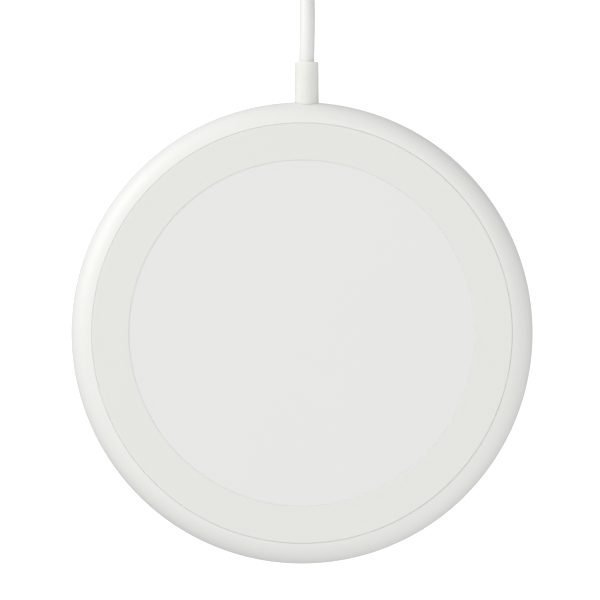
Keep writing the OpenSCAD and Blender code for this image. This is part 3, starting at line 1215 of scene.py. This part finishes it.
@dataclass
class Tie:
    """A flat plastic-covered wire tie round the coil's turns, its ends twisted together."""

    width: float = 4.0 * MM
    thickness: float = 0.4 * MM
    corner: float = 1.5 * MM
    tail: float = 8.0 * MM
    tail_turns: float = 2.0
    tail_steps: int = 40
    tail_half_width: float = 0.72 * MM
    tail_half_depth: float = 0.15 * MM
    tail_swing: float = 0.18 * MM

    def build(self, paints: Paints) -> bpy.types.Object:
        """Makes the tie where the CAD has it.

        Args:
            paints: the finishes.

        Returns:
            The finished piece.
        """
        box = Span.of("cord_tie")
        tall = box.size.z - self.thickness
        coil = Span.of("cord_coil")
        outer = box.high.x
        inner = box.low.x + self.tail
        wide = outer - inner - self.thickness
        centre = Vector(((outer + inner) / 2, coil.middle.y, box.middle.z))
        shape = bmesh.new()
        self.band(shape, centre, wide, tall)
        for side in (-1, 1):
            self.twisted_end(shape, Vector((inner + self.thickness, centre.y, centre.z)), side)
        tie = solid("wire_tie", shape, paints.of(Look.TIE))
        sharpen(tie, 50)
        return fitted(tie, "tie_plastic", ("cord_tie",))

    def band(self, shape: bmesh.types.BMesh, centre: Vector, wide: float, tall: float) -> None:
        """Adds the loop round the turns, thick in its middle where the wire runs.

        Args:
            shape: the mesh that is being made.
            centre: the loop's centre.
            wide: the loop's width at the middle of the strip.
            tall: the loop's height at the middle of the strip.
        """
        section = [(-0.5, -0.3), (-0.2, -0.5), (0.2, -0.5), (0.5, -0.3)]
        section += [(-along, -across) for along, across in section]
        path = rounded_rectangle(wide, tall, self.corner, 6)
        rings = []
        for index, (x, z) in enumerate(path):
            before, after = path[index - 1], path[(index + 1) % len(path)]
            out = Vector((after[1] - before[1], 0, before[0] - after[0])).normalized()
            rings.append([
                shape.verts.new(centre + Vector((x, along * self.width, z)) + out * across * self.thickness)
                for along, across in section
            ])
        walled(shape, rings, "looped")

    def twisted_end(self, shape: bmesh.types.BMesh, start: Vector, side: int) -> None:
        """Adds one of the two ends, which wind round each other into the coil's hole.

        Args:
            shape: the mesh that is being made.
            start: where the twist starts.
            side: -1 or 1, for the two ends.
        """
        rings = []
        for step in range(self.tail_steps + 1):
            share = step / self.tail_steps
            turn = 2 * math.pi * self.tail_turns * share
            across = Vector((0, math.cos(turn), math.sin(turn)))
            over = Vector((0, -math.sin(turn), math.cos(turn)))
            along = Vector((-share * (self.tail - self.thickness), 0, 0))
            middle = start + along + over * side * self.tail_swing
            rings.append([
                shape.verts.new(
                    middle + across * a * self.tail_half_width + over * b * self.tail_half_depth
                )
                for a, b in ((-1, -1), (1, -1), (1, 1), (-1, 1))
            ])
        walled(shape, rings)


# ---- the housing ----


@dataclass
class Housing:
    """The white rim and deck, the bottom cover and the two soft rings and the plate they carry."""

    seam_step: float = 0.27 * MM
    seam_edge: float = 0.16 * MM
    seam_gap: float = 0.008 * MM
    plate_gap: float = 0.002 * MM
    low_edge: float = 0.15 * MM
    grip_edge: float = 0.12 * MM
    inner_edge: float = 0.16 * MM
    grip_drop: float = 0.12 * MM
    plate_drop: float = 0.03 * MM
    foot_edge: float = 0.35 * MM
    rim_drop: float = 0.1 * MM
    deck: float = 1.1 * MM
    floor: float = 2.0 * MM
    cover_play: float = 0.1 * MM
    cover_ledge: float = 1.2 * MM
    boss_radius: float = 2.8 * MM
    boss_circle: float = 38.5 * MM
    boss_foot: float = 3.2 * MM
    post_radius: float = 2.4 * MM
    post_circle: float = 30.0 * MM
    sleeve_hole: float = 2.6 * MM
    hole_start: float = 40.5 * MM
    hole_length: float = 12.0 * MM
    under_edge: float = 0.05 * MM
    under_inset: float = 0.12 * MM
    boss_root: float = 0.3 * MM
    foot_width: float = 5.8 * MM

    @property
    def seam(self) -> float:
        """The radius of the recess that the grip ring sits in."""
        return Span.of("grip_ring").size.x / 2 + self.seam_step

    def rim_outline(self) -> Outline:
        """Works out the upper shell's half section.

        Returns:
            Radius and height of each point, from the ceiling's middle round to the deck's middle.
        """
        shell, grip = Span.of("upper_shell"), Span.of("grip_ring")
        outer = shell.size.x / 2
        seam = self.seam
        widest = mount_place("cord_exit").z
        radius = grip.high.z - widest - self.rim_drop
        middle = (outer - radius, widest)
        deck_z = grip.low.z
        ceiling = deck_z - self.deck
        under = shell.low.z
        start = seam + self.seam_edge
        start_z = widest + math.sqrt(radius**2 - (start - middle[0]) ** 2)
        fillet = arc((start, start_z - self.seam_edge), self.seam_edge, 180, 96, 8)
        top_angle = math.degrees(math.asin((start_z - widest) / radius)) if start > middle[0] else 90
        low_angle = -math.degrees(math.asin((widest - under - self.under_edge) / radius))
        rim = arc(middle, radius, top_angle - 0.5, low_angle, 56)
        low = [(rim[-1][0] - self.under_inset, under)]
        cover = Span.of("base_cover").size.x / 2 + self.cover_play
        wall = cover - self.cover_ledge
        lip = arc((cover + self.low_edge, under + self.low_edge), self.low_edge, 270, 180, 4)
        inside = [(cover, self.floor), (wall, self.floor), (wall, ceiling), (0.0, ceiling)]
        return [(0.0, deck_z), (seam, deck_z)] + fillet + rim + low + lip + inside

    def shell(self, trees: Trees, paints: Paints) -> bpy.types.Object:
        """Makes the upper shell with its bosses and the hole for the sleeve.

        Args:
            trees: the geometry trees.
            paints: the finishes.

        Returns:
            The finished piece.
        """
        paint = paints.of(Look.HOUSING)
        shell = lathed(trees, "rim_shell", self.rim_outline(), paint, closed=False, segments=360)
        ceiling = Span.of("grip_ring").low.z - self.deck
        board_top = Span.of("circuit_board").high.z
        for count, circle, first, radius, foot in (
            (4, self.boss_circle, 45, self.boss_radius, self.boss_foot),
            (3, self.post_circle, 30, self.post_radius, board_top),
        ):
            for index in range(count):
                turn = math.radians(first + 360 * index / count)
                base = Vector((circle * math.cos(turn), circle * math.sin(turn), foot))
                combine(shell, post(base, radius, ceiling + self.boss_root - foot), "UNION")
        hole = post(Vector((0, 0, self.hole_start)), self.sleeve_hole, self.hole_length)
        laid(hole)
        combine(shell, hole, "DIFFERENCE")
        outward(shell)
        sharpen(shell)
        return fitted(shell, "white_housing", ("upper_shell",))

    def grip(self, trees: Trees, paints: Paints) -> bpy.types.Object:
        """Makes the soft grip ring."""
        box = Span.of("grip_ring")
        outer = self.seam - self.seam_gap
        inner = Span.of("center_plate").size.x / 2 + self.plate_gap
        edge, small = self.grip_edge, self.inner_edge
        outline = (
            arc((outer - edge, box.high.z - edge), edge, 0, 90, 6)
            + arc((inner + small, box.high.z - self.grip_drop), small, 90, 180, 6, self.grip_drop)
            + [(inner, box.low.z), (outer, box.low.z)]
        )
        ring = lathed(trees, "grip_pad_ring", outline, paints.of(Look.GRIP), segments=360)
        sharpen(ring)
        return fitted(ring, "grip_silicone", ("grip_ring",))

    def plate(self, trees: Trees, paints: Paints) -> bpy.types.Object:
        """Makes the centre plate."""
        box = Span.of("center_plate")
        outer, edge = box.size.x / 2, self.inner_edge
        outline = [(0.0, box.low.z), (outer, box.low.z)]
        outline += arc((outer - edge, box.high.z - self.plate_drop), edge, 0, 90, 6, self.plate_drop)
        outline += [(0.0, box.high.z)]
        paint = paints.of(Look.PLATE)
        plate = lathed(trees, "charging_plate", outline, paint, closed=False, segments=360)
        sharpen(plate)
        return fitted(plate, "white_plate", ("center_plate",))

    def foot(self, trees: Trees, paints: Paints) -> bpy.types.Object:
        """Makes the soft ring that the pad stands on."""
        box = Span.of("foot_ring")
        outer, edge = box.size.x / 2, self.foot_edge
        inner = outer - self.foot_width
        outline = (
            arc((inner + edge, box.low.z + edge), edge, 180, 270, 6)
            + arc((outer - edge, box.low.z + edge), edge, 270, 360, 6)
            + [(outer, box.high.z), (inner, box.high.z)]
        )
        ring = lathed(trees, "foot_pad_ring", outline, paints.of(Look.FOOT), segments=256)
        sharpen(ring)
        return fitted(ring, "foot_silicone", ("foot_ring",))

    def build(self, trees: Trees, paints: Paints) -> None:
        """Makes every piece of the housing that shows."""
        self.shell(trees, paints)
        self.grip(trees, paints)
        self.plate(trees, paints)
        self.foot(trees, paints)


@dataclass
class Sleeve:
    """The soft strain relief that the cord leaves through."""

    tip_radius: float = 2.58 * MM
    root_radius: float = 2.61 * MM
    bore: float = 1.66 * MM
    edge: float = 0.14 * MM
    mouth_width: float = 0.12 * MM
    mouth_depth: float = 0.15 * MM
    seat: float = 41.5 * MM
    taper_from: float = 50.0 * MM

    def build(self, trees: Trees, paints: Paints) -> bpy.types.Object:
        """Turns the sleeve and lays it along the cord's exit."""
        box = Span.of("strain_relief")
        collar = box.size.x / 2
        outline = [
            (self.bore, box.low.y),
            (collar, box.low.y),
            (collar, self.seat),
            (self.root_radius, self.seat),
            (self.root_radius, self.taper_from),
        ]
        outline += arc((self.tip_radius - self.edge, box.high.y - self.edge), self.edge, 0, 90, 6)
        outline += [(self.bore + self.mouth_width, box.high.y), (self.bore, box.high.y - self.mouth_depth)]
        sleeve = lathed(trees, "cord_sleeve", outline, paints.of(Look.SLEEVE), segments=96)
        laid(sleeve)
        sharpen(sleeve)
        return fitted(sleeve, "sleeve_rubber", ("strain_relief",))


# ---- the plug ----


@dataclass
class Plug:
    """The plug's moulded handle, lying flat with its metal shell away from the coil."""

    neck: float = 9.0 * MM
    neck_tip: float = 2.2 * MM
    neck_root: float = 3.0 * MM
    ribs: int = 5
    rib_depth: float = 0.35 * MM
    shoulder: float = 1.6 * MM
    swell: float = 0.2 * MM
    flat: float = 0.01 * MM
    front_edge: float = 0.5 * MM
    pocket_corner: float = 0.62 * MM
    play: float = 0.04 * MM

    def build(self, paints: Paints) -> bpy.types.Object:
        """Makes the handle and its ribbed neck as one moulding.

        Args:
            paints: the finishes.

        Returns:
            The finished piece.
        """
        box = Span.of("plug_handle")
        start, end = box.high.x, box.low.x
        wide, tall = box.size.y, box.size.z
        middle = box.middle
        stations = self.neck_stations() + self.body_stations(wide, tall, abs(end - start))
        rings = []
        for along, width, height, radius in stations:
            rings.append([
                Vector((start - along, middle.y + y, middle.z + z))
                for y, z in rounded_rectangle(width, height, radius, 8)
            ])
        handle = lofted("plug_grip", rings, paints.of(Look.PLUG))
        shell = Span.of("plug_shell")
        mouth = rounded_rectangle(
            shell.size.y + self.play, shell.size.z + self.play, self.pocket_corner, 4
        )
        pocket = [
            [Vector((x, middle.y + y, middle.z + z)) for y, z in mouth] for x in (end - MM, shell.high.x)
        ]
        combine(handle, lofted("pocket", pocket, paints.of(Look.PLUG)), "DIFFERENCE")
        sharpen(handle, 40, "xyz")
        return fitted(handle, "plug_plastic", ("plug_handle",))

    def neck_stations(self) -> list[Station]:
        """Works out the ribbed neck's sections: distance along, width, height and corner radius."""
        stations = []
        rib_steps = 6
        for index in range(self.ribs * rib_steps + 1):
            share = index / (self.ribs * rib_steps)
            wave = 0.5 - 0.5 * math.cos(2 * math.pi * index / rib_steps)
            radius = self.neck_tip + (self.neck_root - self.neck_tip) * share - self.rib_depth * wave
            stations.append((share * (self.neck - self.shoulder), 2 * radius, 2 * radius, radius))
        return stations

    def body_stations(self, wide: float, tall: float, full: float) -> list[Station]:
        """Works out the sections of the round shoulder and the flat body.

        Args:
            wide: the body's width.
            tall: its height.
            full: the handle's whole length.

        Returns:
            The sections, as for the neck.
        """
        stations = []
        root, shoulder_steps, front_steps = 2 * self.neck_root, 8, 6
        for step in range(1, shoulder_steps + 1):
            turn = math.radians(90 * step / shoulder_steps)
            grow = math.sin(turn)
            along = self.neck - self.shoulder + self.shoulder * (1 - math.cos(turn))
            height = root + (tall - root) * grow
            round_corner = min(self.neck_root + self.swell * (1 - grow), height / 2 - self.flat)
            stations.append((along, root + (wide - root) * grow, height, round_corner))
        corner = stations[-1][3]
        front = full - self.front_edge
        for along in (self.neck + 1 * MM, self.neck + 4 * MM, full - 4 * MM, front - 0.3 * MM):
            stations.append((along, wide, tall, corner))
        for step in range(front_steps + 1):
            turn = math.radians(90 * step / front_steps)
            inset = self.front_edge * (1 - math.cos(turn))
            along = front + self.front_edge * math.sin(turn)
            stations.append((along, wide - 2 * inset, tall - 2 * inset, corner - inset))
        return stations


@dataclass
class PlugShell:
    """The plug's folded steel sleeve, with two windows in each wide face and spring tabs behind them."""

    sheet: float = 0.3 * MM
    corner: float = 0.62 * MM
    window: tuple[float, float] = (2.0 * MM, 2.5 * MM)
    window_corner: float = 0.2 * MM
    window_back: float = 4.6 * MM
    window_apart: float = 5.8 * MM
    fold_gap: float = 0.08 * MM
    key_depth: float = 0.9 * MM
    key_half: float = 0.8 * MM
    key_root: float = 0.96 * MM
    key_back: float = 3.0 * MM
    tab_play: float = 0.35 * MM
    tab_sheet: float = 0.2 * MM
    tab_drop: float = 0.02 * MM
    tab_bend: tuple[Flat, ...] = ((0.05, 0.0), (0.45, 0.05), (1.0, 0.42), (1.5, 0.5), (1.9, 0.3))
    edge: float = 0.06 * MM

    def build(self, paints: Paints) -> bpy.types.Object:
        """Folds the sleeve, opens its windows and bends its tabs.

        Args:
            paints: the finishes.

        Returns:
            The finished piece.
        """
        paint = paints.of(Look.PLUG_STEEL)
        box = Span.of("plug_shell")
        shell = self.sleeve(box, paint)
        front = Span.of("plug_handle").low.x
        long, wide = self.window
        for side in (-1, 1):
            middle = box.middle.y + side * self.window_apart / 2
            centre = front - self.window_back - long / 2
            opening = rounded_rectangle(long, wide, self.window_corner, 3)
            moved = [(centre + x, middle + y) for x, y in opening]
            window = solid("window", prism(moved, 0.0, 2 * box.high.z))
            combine(shell, window, "DIFFERENCE")
        combine(shell, solid("fold", self.fold(box)), "DIFFERENCE")
        softened(shell, self.edge)
        self.tabs(shell, box, front)
        sharpen(shell, 38, "xyz")
        return fitted(shell, "plug_steel", ("plug_shell",))

    def sleeve(self, box: Span, paint: bpy.types.Material) -> bpy.types.Object:
        """Makes the plain sleeve: an outer skin and an inner one, joined at both ends.

        Args:
            box: the sleeve's place.
            paint: its material.

        Returns:
            The sleeve.
        """
        shape = bmesh.new()
        loops = []
        for inset in (0.0, self.sheet):
            outline = rounded_rectangle(
                box.size.y - 2 * inset, box.size.z - 2 * inset, self.corner - inset, 6
            )
            loops.append([
                [shape.verts.new((x, box.middle.y + y, box.middle.z + z)) for y, z in outline]
                for x in (box.low.x, box.high.x)
            ])
        (outer_front, outer_back), (inner_front, inner_back) = loops
        walled(shape, [outer_front, outer_back, inner_back, inner_front], "looped")
        return solid("plug_sleeve", shape, paint)

    def fold(self, box: Span) -> bmesh.types.BMesh:
        """The thin gap where the sheet's two edges meet underneath, with one key in it.

        Args:
            box: the sleeve's place.

        Returns:
            The shape to cut away.
        """
        half, depth, middle = self.fold_gap / 2, self.key_depth, box.middle.y
        waist = box.middle.x - self.key_back
        line = [
            (box.high.x + MM, 0.0), (waist + self.key_root, 0.0), (waist + self.key_half, depth),
            (waist - self.key_half, depth), (waist - self.key_root, 0.0), (box.low.x - MM, 0.0),
        ]
        near = [(x, middle + y + half) for x, y in line]
        far = [(x, middle + y - half) for x, y in line]
        return prism(far + near[::-1], box.low.z - MM, box.low.z + 2 * self.sheet)

    def tabs(self, shell: bpy.types.Object, box: Span, front: float) -> None:
        """Adds a bent spring tab behind each upper window.

        Args:
            shell: the sleeve that the tabs join.
            box: the sleeve's place.
            front: where the handle ends.
        """
        shape = bmesh.new()
        shape.from_mesh(shell.data)
        wide = self.window[1]
        for side in (-1, 1):
            middle = box.middle.y + side * self.window_apart / 2
            half = wide / 2 - self.tab_play
            top = box.high.z - self.tab_drop
            rows = []
            for along, drop in self.tab_bend:
                x, z = front - self.window_back - along * MM, top - drop * MM
                rows.append([
                    shape.verts.new((x, middle + a * half, z - b * self.tab_sheet))
                    for a, b in ((-1, 0), (1, 0), (1, 1), (-1, 1))
                ])
            walled(shape, rows)
        bmesh.ops.recalc_face_normals(shape, faces=shape.faces)
        shape.to_mesh(shell.data)
        shape.free()


# ---- the parts inside ----


@dataclass(frozen=True)
class Row:
    """Equal parts along an arc of the board, in millimetres and degrees.

    A package has some feet on each of two or four sides.
    """

    node: str
    count: int
    radius: float
    first: float
    step: float
    size: Point
    feet: int = 0
    sides: int = 2
    look: Look = Look.CHIP
    slot: str = "chip_package"

    def run(
        self, trees: Trees, part: bpy.types.Object, kind: str, paint: bpy.types.Material
    ) -> bpy.types.Object:
        """Copies one part along the row.

        Args:
            trees: the geometry trees.
            part: the part, standing on the origin, which is used up.
            kind: what the part is, for the row's name.
            paint: its material.

        Returns:
            The row.
        """
        values = {
            "Count": self.count,
            "Radius": self.radius * MM,
            "First Angle": math.radians(self.first),
            "Step Angle": math.radians(self.step),
            "Height": Span.of("circuit_board").high.z,
            "Material": paint,
        }
        return trees.ring_row.run(part, f"{self.node}_{kind}", values)


CERAMIC = {"look": Look.CERAMIC, "slot": "capacitor_ceramic"}
CAPPED = (
    Row("resonant_capacitors", 4, 31.2, 338, 7, (3.2, 2.5, 1.8), **CERAMIC),
    Row("input_capacitors", 3, 30.6, 56, 6, (3.2, 1.6, 1.4), **CERAMIC),
    Row("chip_passives", 11, 32.6, 200, 5, (1.6, 0.8, 0.6), **CERAMIC),
)
PACKAGED = (
    Row("controller_chip", 1, 29.8, 190, 0, (6.0, 6.0, 0.9), feet=8, sides=4),
    Row("power_chips", 2, 30.2, 292, 14, (4.0, 4.0, 0.9), feet=4),
    Row("voltage_regulator", 1, 30.0, 170, 0, (3.0, 1.6, 1.1), feet=2),
    Row("sense_resistor", 1, 31.0, 319, 0, (3.2, 6.3, 0.6), feet=1),
    Row("filter_inductor", 1, 29.4, 114, 0, (5.0, 5.0, 2.2), 1, look=Look.FERRITE, slot="ferrite"),
)


@dataclass(frozen=True)
class Screw:
    """A ring of equal cross-head screws that point up, with their sizes in metres."""

    name: str
    node: str
    count: int
    circle: float
    first: float
    head: float
    shank: float
    length: float
    head_height: float = 1.0 * MM
    head_edge: float = 0.3 * MM
    pitch: float = 0.6 * MM
    core: float = 0.8
    cross_depth: float = 0.6

    def build(self, trees: Trees, paint: bpy.types.Material) -> bpy.types.Object:
        """Turns one screw and sets the ring of them.

        Args:
            trees: the geometry trees.
            paint: their material.

        Returns:
            The finished ring.
        """
        values = {
            "Count": self.count,
            "Radius": self.circle,
            "First Angle": math.radians(self.first),
            "Step Angle": 2 * math.pi / self.count,
            "Height": Span.of(self.node).low.z,
            "Material": paint,
        }
        group = trees.ring_row.run(self.one(trees, paint), self.name, values)
        sharpen(group, 25)
        return fitted(group, "screw_steel", (self.node,))

    def one(self, trees: Trees, paint: bpy.types.Material) -> bpy.types.Object:
        """Turns one screw, with its head's flat side at the origin, and cuts its cross."""
        head, shank, edge, top = self.head, self.shank, self.head_edge, self.head_height
        core = shank * self.core
        outline: Outline = [(0.0, 0.0), (head - edge, 0.0)]
        outline += arc((head - edge, edge), edge, 270, 360, 4)
        outline += [(head, top), (core, top)]
        threads = max(4, round((self.length - shank) / self.pitch))
        pitch = (self.length - shank) / threads
        for index in range(threads):
            z = top + index * pitch
            outline += [(core, z + 0.25 * pitch), (shank, z + 0.5 * pitch), (core, z + 0.75 * pitch)]
        outline += [(shank * 0.25, top + self.length), (0.0, top + self.length)]
        piece = lathed(trees, "screw", outline, paint, closed=False, segments=32)
        arm, half = head * 0.6, head * 0.14
        cross = [(arm, -half), (arm, half), (half, half), (half, arm), (-half, arm), (-half, half)]
        cross += [(-x, -y) for x, y in cross]
        tool = solid("cross", prism(cross, -0.1 * MM, self.cross_depth * top, 0.6))
        combine(piece, tool, "DIFFERENCE")
        return piece


SCREWS = (
    Screw("case_screw_set", "case_screws", 4, 38.5 * MM, 45, 2.0 * MM, 1.0 * MM, 5.0 * MM),
    Screw("board_screw_set", "board_screws", 3, 30.0 * MM, 30, 1.7 * MM, 0.8 * MM, 3.3 * MM),
)


@dataclass(frozen=True)
class Core:
    """One or two of the cord's inner wires, in millimetres from the cord's middle line.

    Each end says how far beside and above the middle a wire starts, and how far beside it is soldered.
    """

    name: str
    node: str
    slot: str
    look: Look
    radius: float
    ends: tuple[Point, ...]


CORES = (
    Core("red_wire", "positive_wire", "red_insulation", Look.RED, 0.45, ((-0.6, -0.6, -4.5),)),
    Core("black_wire", "negative_wire", "black_insulation", Look.BLACK, 0.45, ((0.6, -0.6, 4.5),)),
    Core(
        "green_wires", "data_wires", "green_insulation", Look.GREEN, 0.35,
        ((-0.5, 0.6, -1.6), (0.5, 0.6, 1.6)),
    ),
)


@dataclass
class Inside:
    """Everything under the deck: winding, board parts, wires and the CAD pieces that stay."""

    turns: float = 9.9
    wire_radius: float = 0.52 * MM
    first_turn: float = 10.98 * MM
    last_turn: float = 21.02 * MM
    lead_radius: float = 0.42 * MM
    lead_strands: int = 7
    outer_lead_angle: float = -36.0
    solder_row: float = 30.5 * MM
    dome: tuple[Flat, ...] = ((0.85, 0.0), (0.8, 0.2), (0.66, 0.42), (0.42, 0.6), (0.16, 0.68))
    cap_share: float = 0.2
    foot_play: float = 0.04 * MM
    foot_depth: float = 0.3 * MM

    def winding(self, trees: Trees, paints: Paints) -> bpy.types.Object:
        """Winds the charging coil from stranded wire."""
        box = Span.of("charging_coil")
        host = placed("winding_host", bpy.data.meshes.new("winding_host"))
        values = {
            "Turns": self.turns,
            "Inner Radius": self.first_turn,
            "Outer Radius": self.last_turn,
            "Wire Radius": self.wire_radius,
            "Material": paints.of(Look.COPPER),
        }
        coil = trees.winding.run(host, "litz_winding", values)
        coil.data.transform(Matrix.Translation((0, 0, box.middle.z)))
        outward(coil)
        return fitted(coil, "copper_wire", ("charging_coil",))

    def capacitors(self, trees: Trees, paints: Paints) -> list[bpy.types.Object]:
        """Sets the parts with tinned ends along their arcs.

        Args:
            trees: the geometry trees.
            paints: the finishes.

        Returns:
            The rows of ends, which aren't fitted yet.
        """
        ends = []
        for row in CAPPED:
            long, wide, tall = (side * MM for side in row.size)
            half, cap = long / 2, long * self.cap_share
            body = self.block("body", [(cap / 2 - half, half - cap / 2)], wide * 0.97, tall * 0.97)
            bodies = row.run(trees, body, "row", paints.of(row.look))
            fitted(bodies, row.slot, (row.node,))
            caps = self.block("ends", [(-half, cap - half), (half - cap, half)], wide, tall)
            ends.append(row.run(trees, caps, "ends", paints.of(Look.TIN)))
        return ends

    def packages(self, trees: Trees, paints: Paints) -> list[bpy.types.Object]:
        """Sets the chips, the filter and the sense resistor, each on its metal feet.

        Args:
            trees: the geometry trees.
            paints: the finishes.

        Returns:
            The rows of feet, which aren't fitted yet.
        """
        feet = []
        for row in PACKAGED:
            long, wide, tall = (side * MM for side in row.size)
            body = self.block("body", [(-long / 2, long / 2)], wide, tall)
            if row.feet > 1:
                mark = min(long, wide) * 0.08
                corner = Vector((3 * mark - long / 2, wide / 2 - 3 * mark, tall - 0.06 * MM))
                combine(body, post(corner, mark, 0.12 * MM), "DIFFERENCE")
            package = row.run(trees, body, "package", paints.of(row.look))
            sharpen(package, 30)
            fitted(package, row.slot, (row.node,))
            feet.append(row.run(trees, self.feet(row), "feet", paints.of(Look.TIN)))
        return feet

    def feet(self, row: Row) -> bpy.types.Object:
        """Makes the feet of one package, on two of its sides or on all four.

        Args:
            row: the package's row.

        Returns:
            A temporary object.
        """
        long, wide, tall = (side * MM for side in row.size)
        shape = bmesh.new()
        for quarter in range(0, 4, 4 // row.sides):
            reach, run = (long / 2, wide) if quarter % 2 == 0 else (wide / 2, long)
            gap = run * 0.9 / row.feet
            across = gap * (0.5 if row.feet > 1 else 0.9)
            turn = Matrix.Rotation(quarter * math.pi / 2, 4, "Z")
            out = reach + self.foot_play - self.foot_depth / 2
            for index in range(row.feet):
                place = Vector((out, (index + 0.5) * gap - run * 0.45, tall * 0.15))
                made = bmesh.ops.create_cube(shape, size=1.0)["verts"]
                bmesh.ops.scale(shape, verts=made, vec=(self.foot_depth, across, tall * 0.3))
                bmesh.ops.translate(shape, verts=made, vec=place)
                bmesh.ops.transform(shape, verts=made, matrix=turn)
        return solid("feet", shape)

    def leads(self, paints: Paints) -> list[Vector]:
        """Runs the winding's two ends to their solder points: one in the ferrite's slot, one over its edge.

        Args:
            paints: the finishes.

        Returns:
            The solder points.
        """
        board = Span.of("circuit_board").high.z
        coil = Span.of("charging_coil").low.z
        slot = Span.of("ferrite_plate").middle.z
        pad = board + self.lead_radius
        inner = ((9.4, coil + 0.4 * MM), (9.6, coil - 0.1 * MM), (10.6, slot), (14, slot), (24, slot))
        inner += ((26, pad + 0.2 * MM), (28, pad))
        outer = ((21.6, coil + 0.5 * MM), (23.5, coil + 0.5 * MM), (25.6, coil + 0.45 * MM))
        outer += ((26.6, pad + 0.4 * MM), (28.4, pad))
        pieces, spots = [], []
        for route, degrees in ((inner, 0), (outer, self.outer_lead_angle)):
            turn = Matrix.Rotation(math.radians(degrees), 3, "Z")
            path = [turn @ Vector((out * MM, 0, high)) for out, high in route]
            pieces.append(wire("end", path, self.lead_radius, paints.of(Look.COPPER), self.lead_strands))
            spots.append(Vector((*path[-1].xy, board)))
        pair = joined("winding_ends", pieces)
        sharpen(pair, 60)
        fitted(pair, "copper_wire", ("coil_leads",))
        return spots

    def wires(self, paints: Paints) -> list[Vector]:
        """Runs the cord's wires from its stripped end over the board's edge to their solder points.

        Args:
            paints: the finishes.

        Returns:
            The solder points.
        """
        board = Span.of("circuit_board").high.z
        tail = Span.of("positive_wire").high.y
        start = mount_place("cord_exit")
        spots = []
        for core in CORES:
            pieces = []
            radius = core.radius * MM
            lift = board + radius
            for ends in core.ends:
                beside, above, solder = (value * MM for value in ends)
                high, end = start.z + above, start.x + solder
                path = [
                    Vector((start.x + beside, tail, high)),
                    Vector((start.x + beside * 1.2, tail - 1.2 * MM, high)),
                    Vector(((start.x + end) / 2 + beside, 35.4 * MM, (high + lift) / 2 + 0.4 * MM)),
                    Vector((end, 33.2 * MM, lift + 0.25 * MM)),
                    Vector((end, 31.8 * MM, lift + 0.05 * MM)),
                    Vector((end, self.solder_row, lift)),
                ]
                pieces.append(wire("core", path, radius, paints.of(core.look)))
                spots.append(Vector((end, self.solder_row, board)))
            run = joined(core.name, pieces)
            sharpen(run, 60)
            fitted(run, core.slot, (core.node,))
        return spots

    def solder(self, spots: list[Vector], paint: bpy.types.Material) -> list[bpy.types.Object]:
        """Heaps a small dome of solder on each spot.

        Args:
            spots: where the domes stand.
            paint: their material.

        Returns:
            The domes, which aren't fitted yet.
        """
        circle = [math.tau * step / 24 for step in range(24)]
        domes = []
        for spot in spots:
            rings = [
                [spot + Vector((out * math.cos(a), out * math.sin(a), up)) * MM for a in circle]
                for out, up in self.dome
            ]
            domes.append(lofted("solder", rings, paint))
        return domes

    def block(self, name: str, spans: list[Flat], wide: float, tall: float) -> bpy.types.Object:
        """Makes one or more softened blocks that stand on the board.

        Args:
            name: the object's name.
            spans: where each block starts and ends, along its row's radius.
            wide: their width.
            tall: their height.

        Returns:
            A temporary object.
        """
        shape = bmesh.new()
        for start, end in spans:
            made = bmesh.ops.create_cube(shape, size=1.0)["verts"]
            bmesh.ops.scale(shape, verts=made, vec=(end - start, wide, tall))
            bmesh.ops.translate(shape, verts=made, vec=((start + end) / 2, 0, tall / 2))
        bmesh.ops.bevel(
            shape, geom=shape.edges[:], offset=tall * 0.07, offset_type="OFFSET", segments=1, affect="EDGES"
        )
        return solid(name, shape)

    def dress(self, paints: Paints) -> None:
        """Gives every CAD piece that stays its finish."""
        looks = {
            Look.BASE: ("base_cover",),
            Look.FILM: ("plate_adhesive", "foot_adhesive", "weight_tape"),
            Look.TAPE: ("coil_tape", "ferrite_tape"),
            Look.FERRITE: ("ferrite_plate",),
            Look.BOARD: ("circuit_board",),
            Look.CERAMIC: ("temperature_sensor",),
            Look.WEIGHT: ("weight_plate",),
            Look.CORD: ("cord_tail",),
            Look.INSULATOR: ("plug_tongue",),
            Look.GOLD: ("plug_contacts",),
        }
        for look, names in looks.items():
            for name in names:
                node = frame["nodes"][name]
                for slot in node.material_slots:
                    slot.material = paints.of(look)
                LOG.info("%s: dressed in %s", name, look.value.name)

    def build(self, trees: Trees, paints: Paints) -> None:
        """Makes the inner pieces and dresses the rest."""
        self.winding(trees, paints)
        for screw in SCREWS:
            screw.build(trees, paints.of(Look.SCREW))
        metal = self.capacitors(trees, paints) + self.packages(trees, paints)
        metal += self.solder(self.leads(paints) + self.wires(paints), paints.of(Look.TIN))
        ends = joined("tinned_ends", metal)
        sharpen(ends, 40)
        fitted(ends, "screw_steel")
        self.dress(paints)


def main() -> None:
    """Builds the scene: studio and cord first, then the pad from outside in."""
    logging.basicConfig(level=logging.INFO, format="%(message)s")
    paints = Paints()
    trees = Trees()
    Studio().build()
    run = CordRun()
    cord = run.build(paints)
    tie = Tie().build(paints)
    sleeve = Sleeve().build(trees, paints)
    handle = Plug().build(paints)
    metal = PlugShell().build(paints)
    tuple(mount_place("cord_exit"))
    Housing().build(trees, paints)
    Inside().build(trees, paints)


if __name__ == "__main__":
    main()
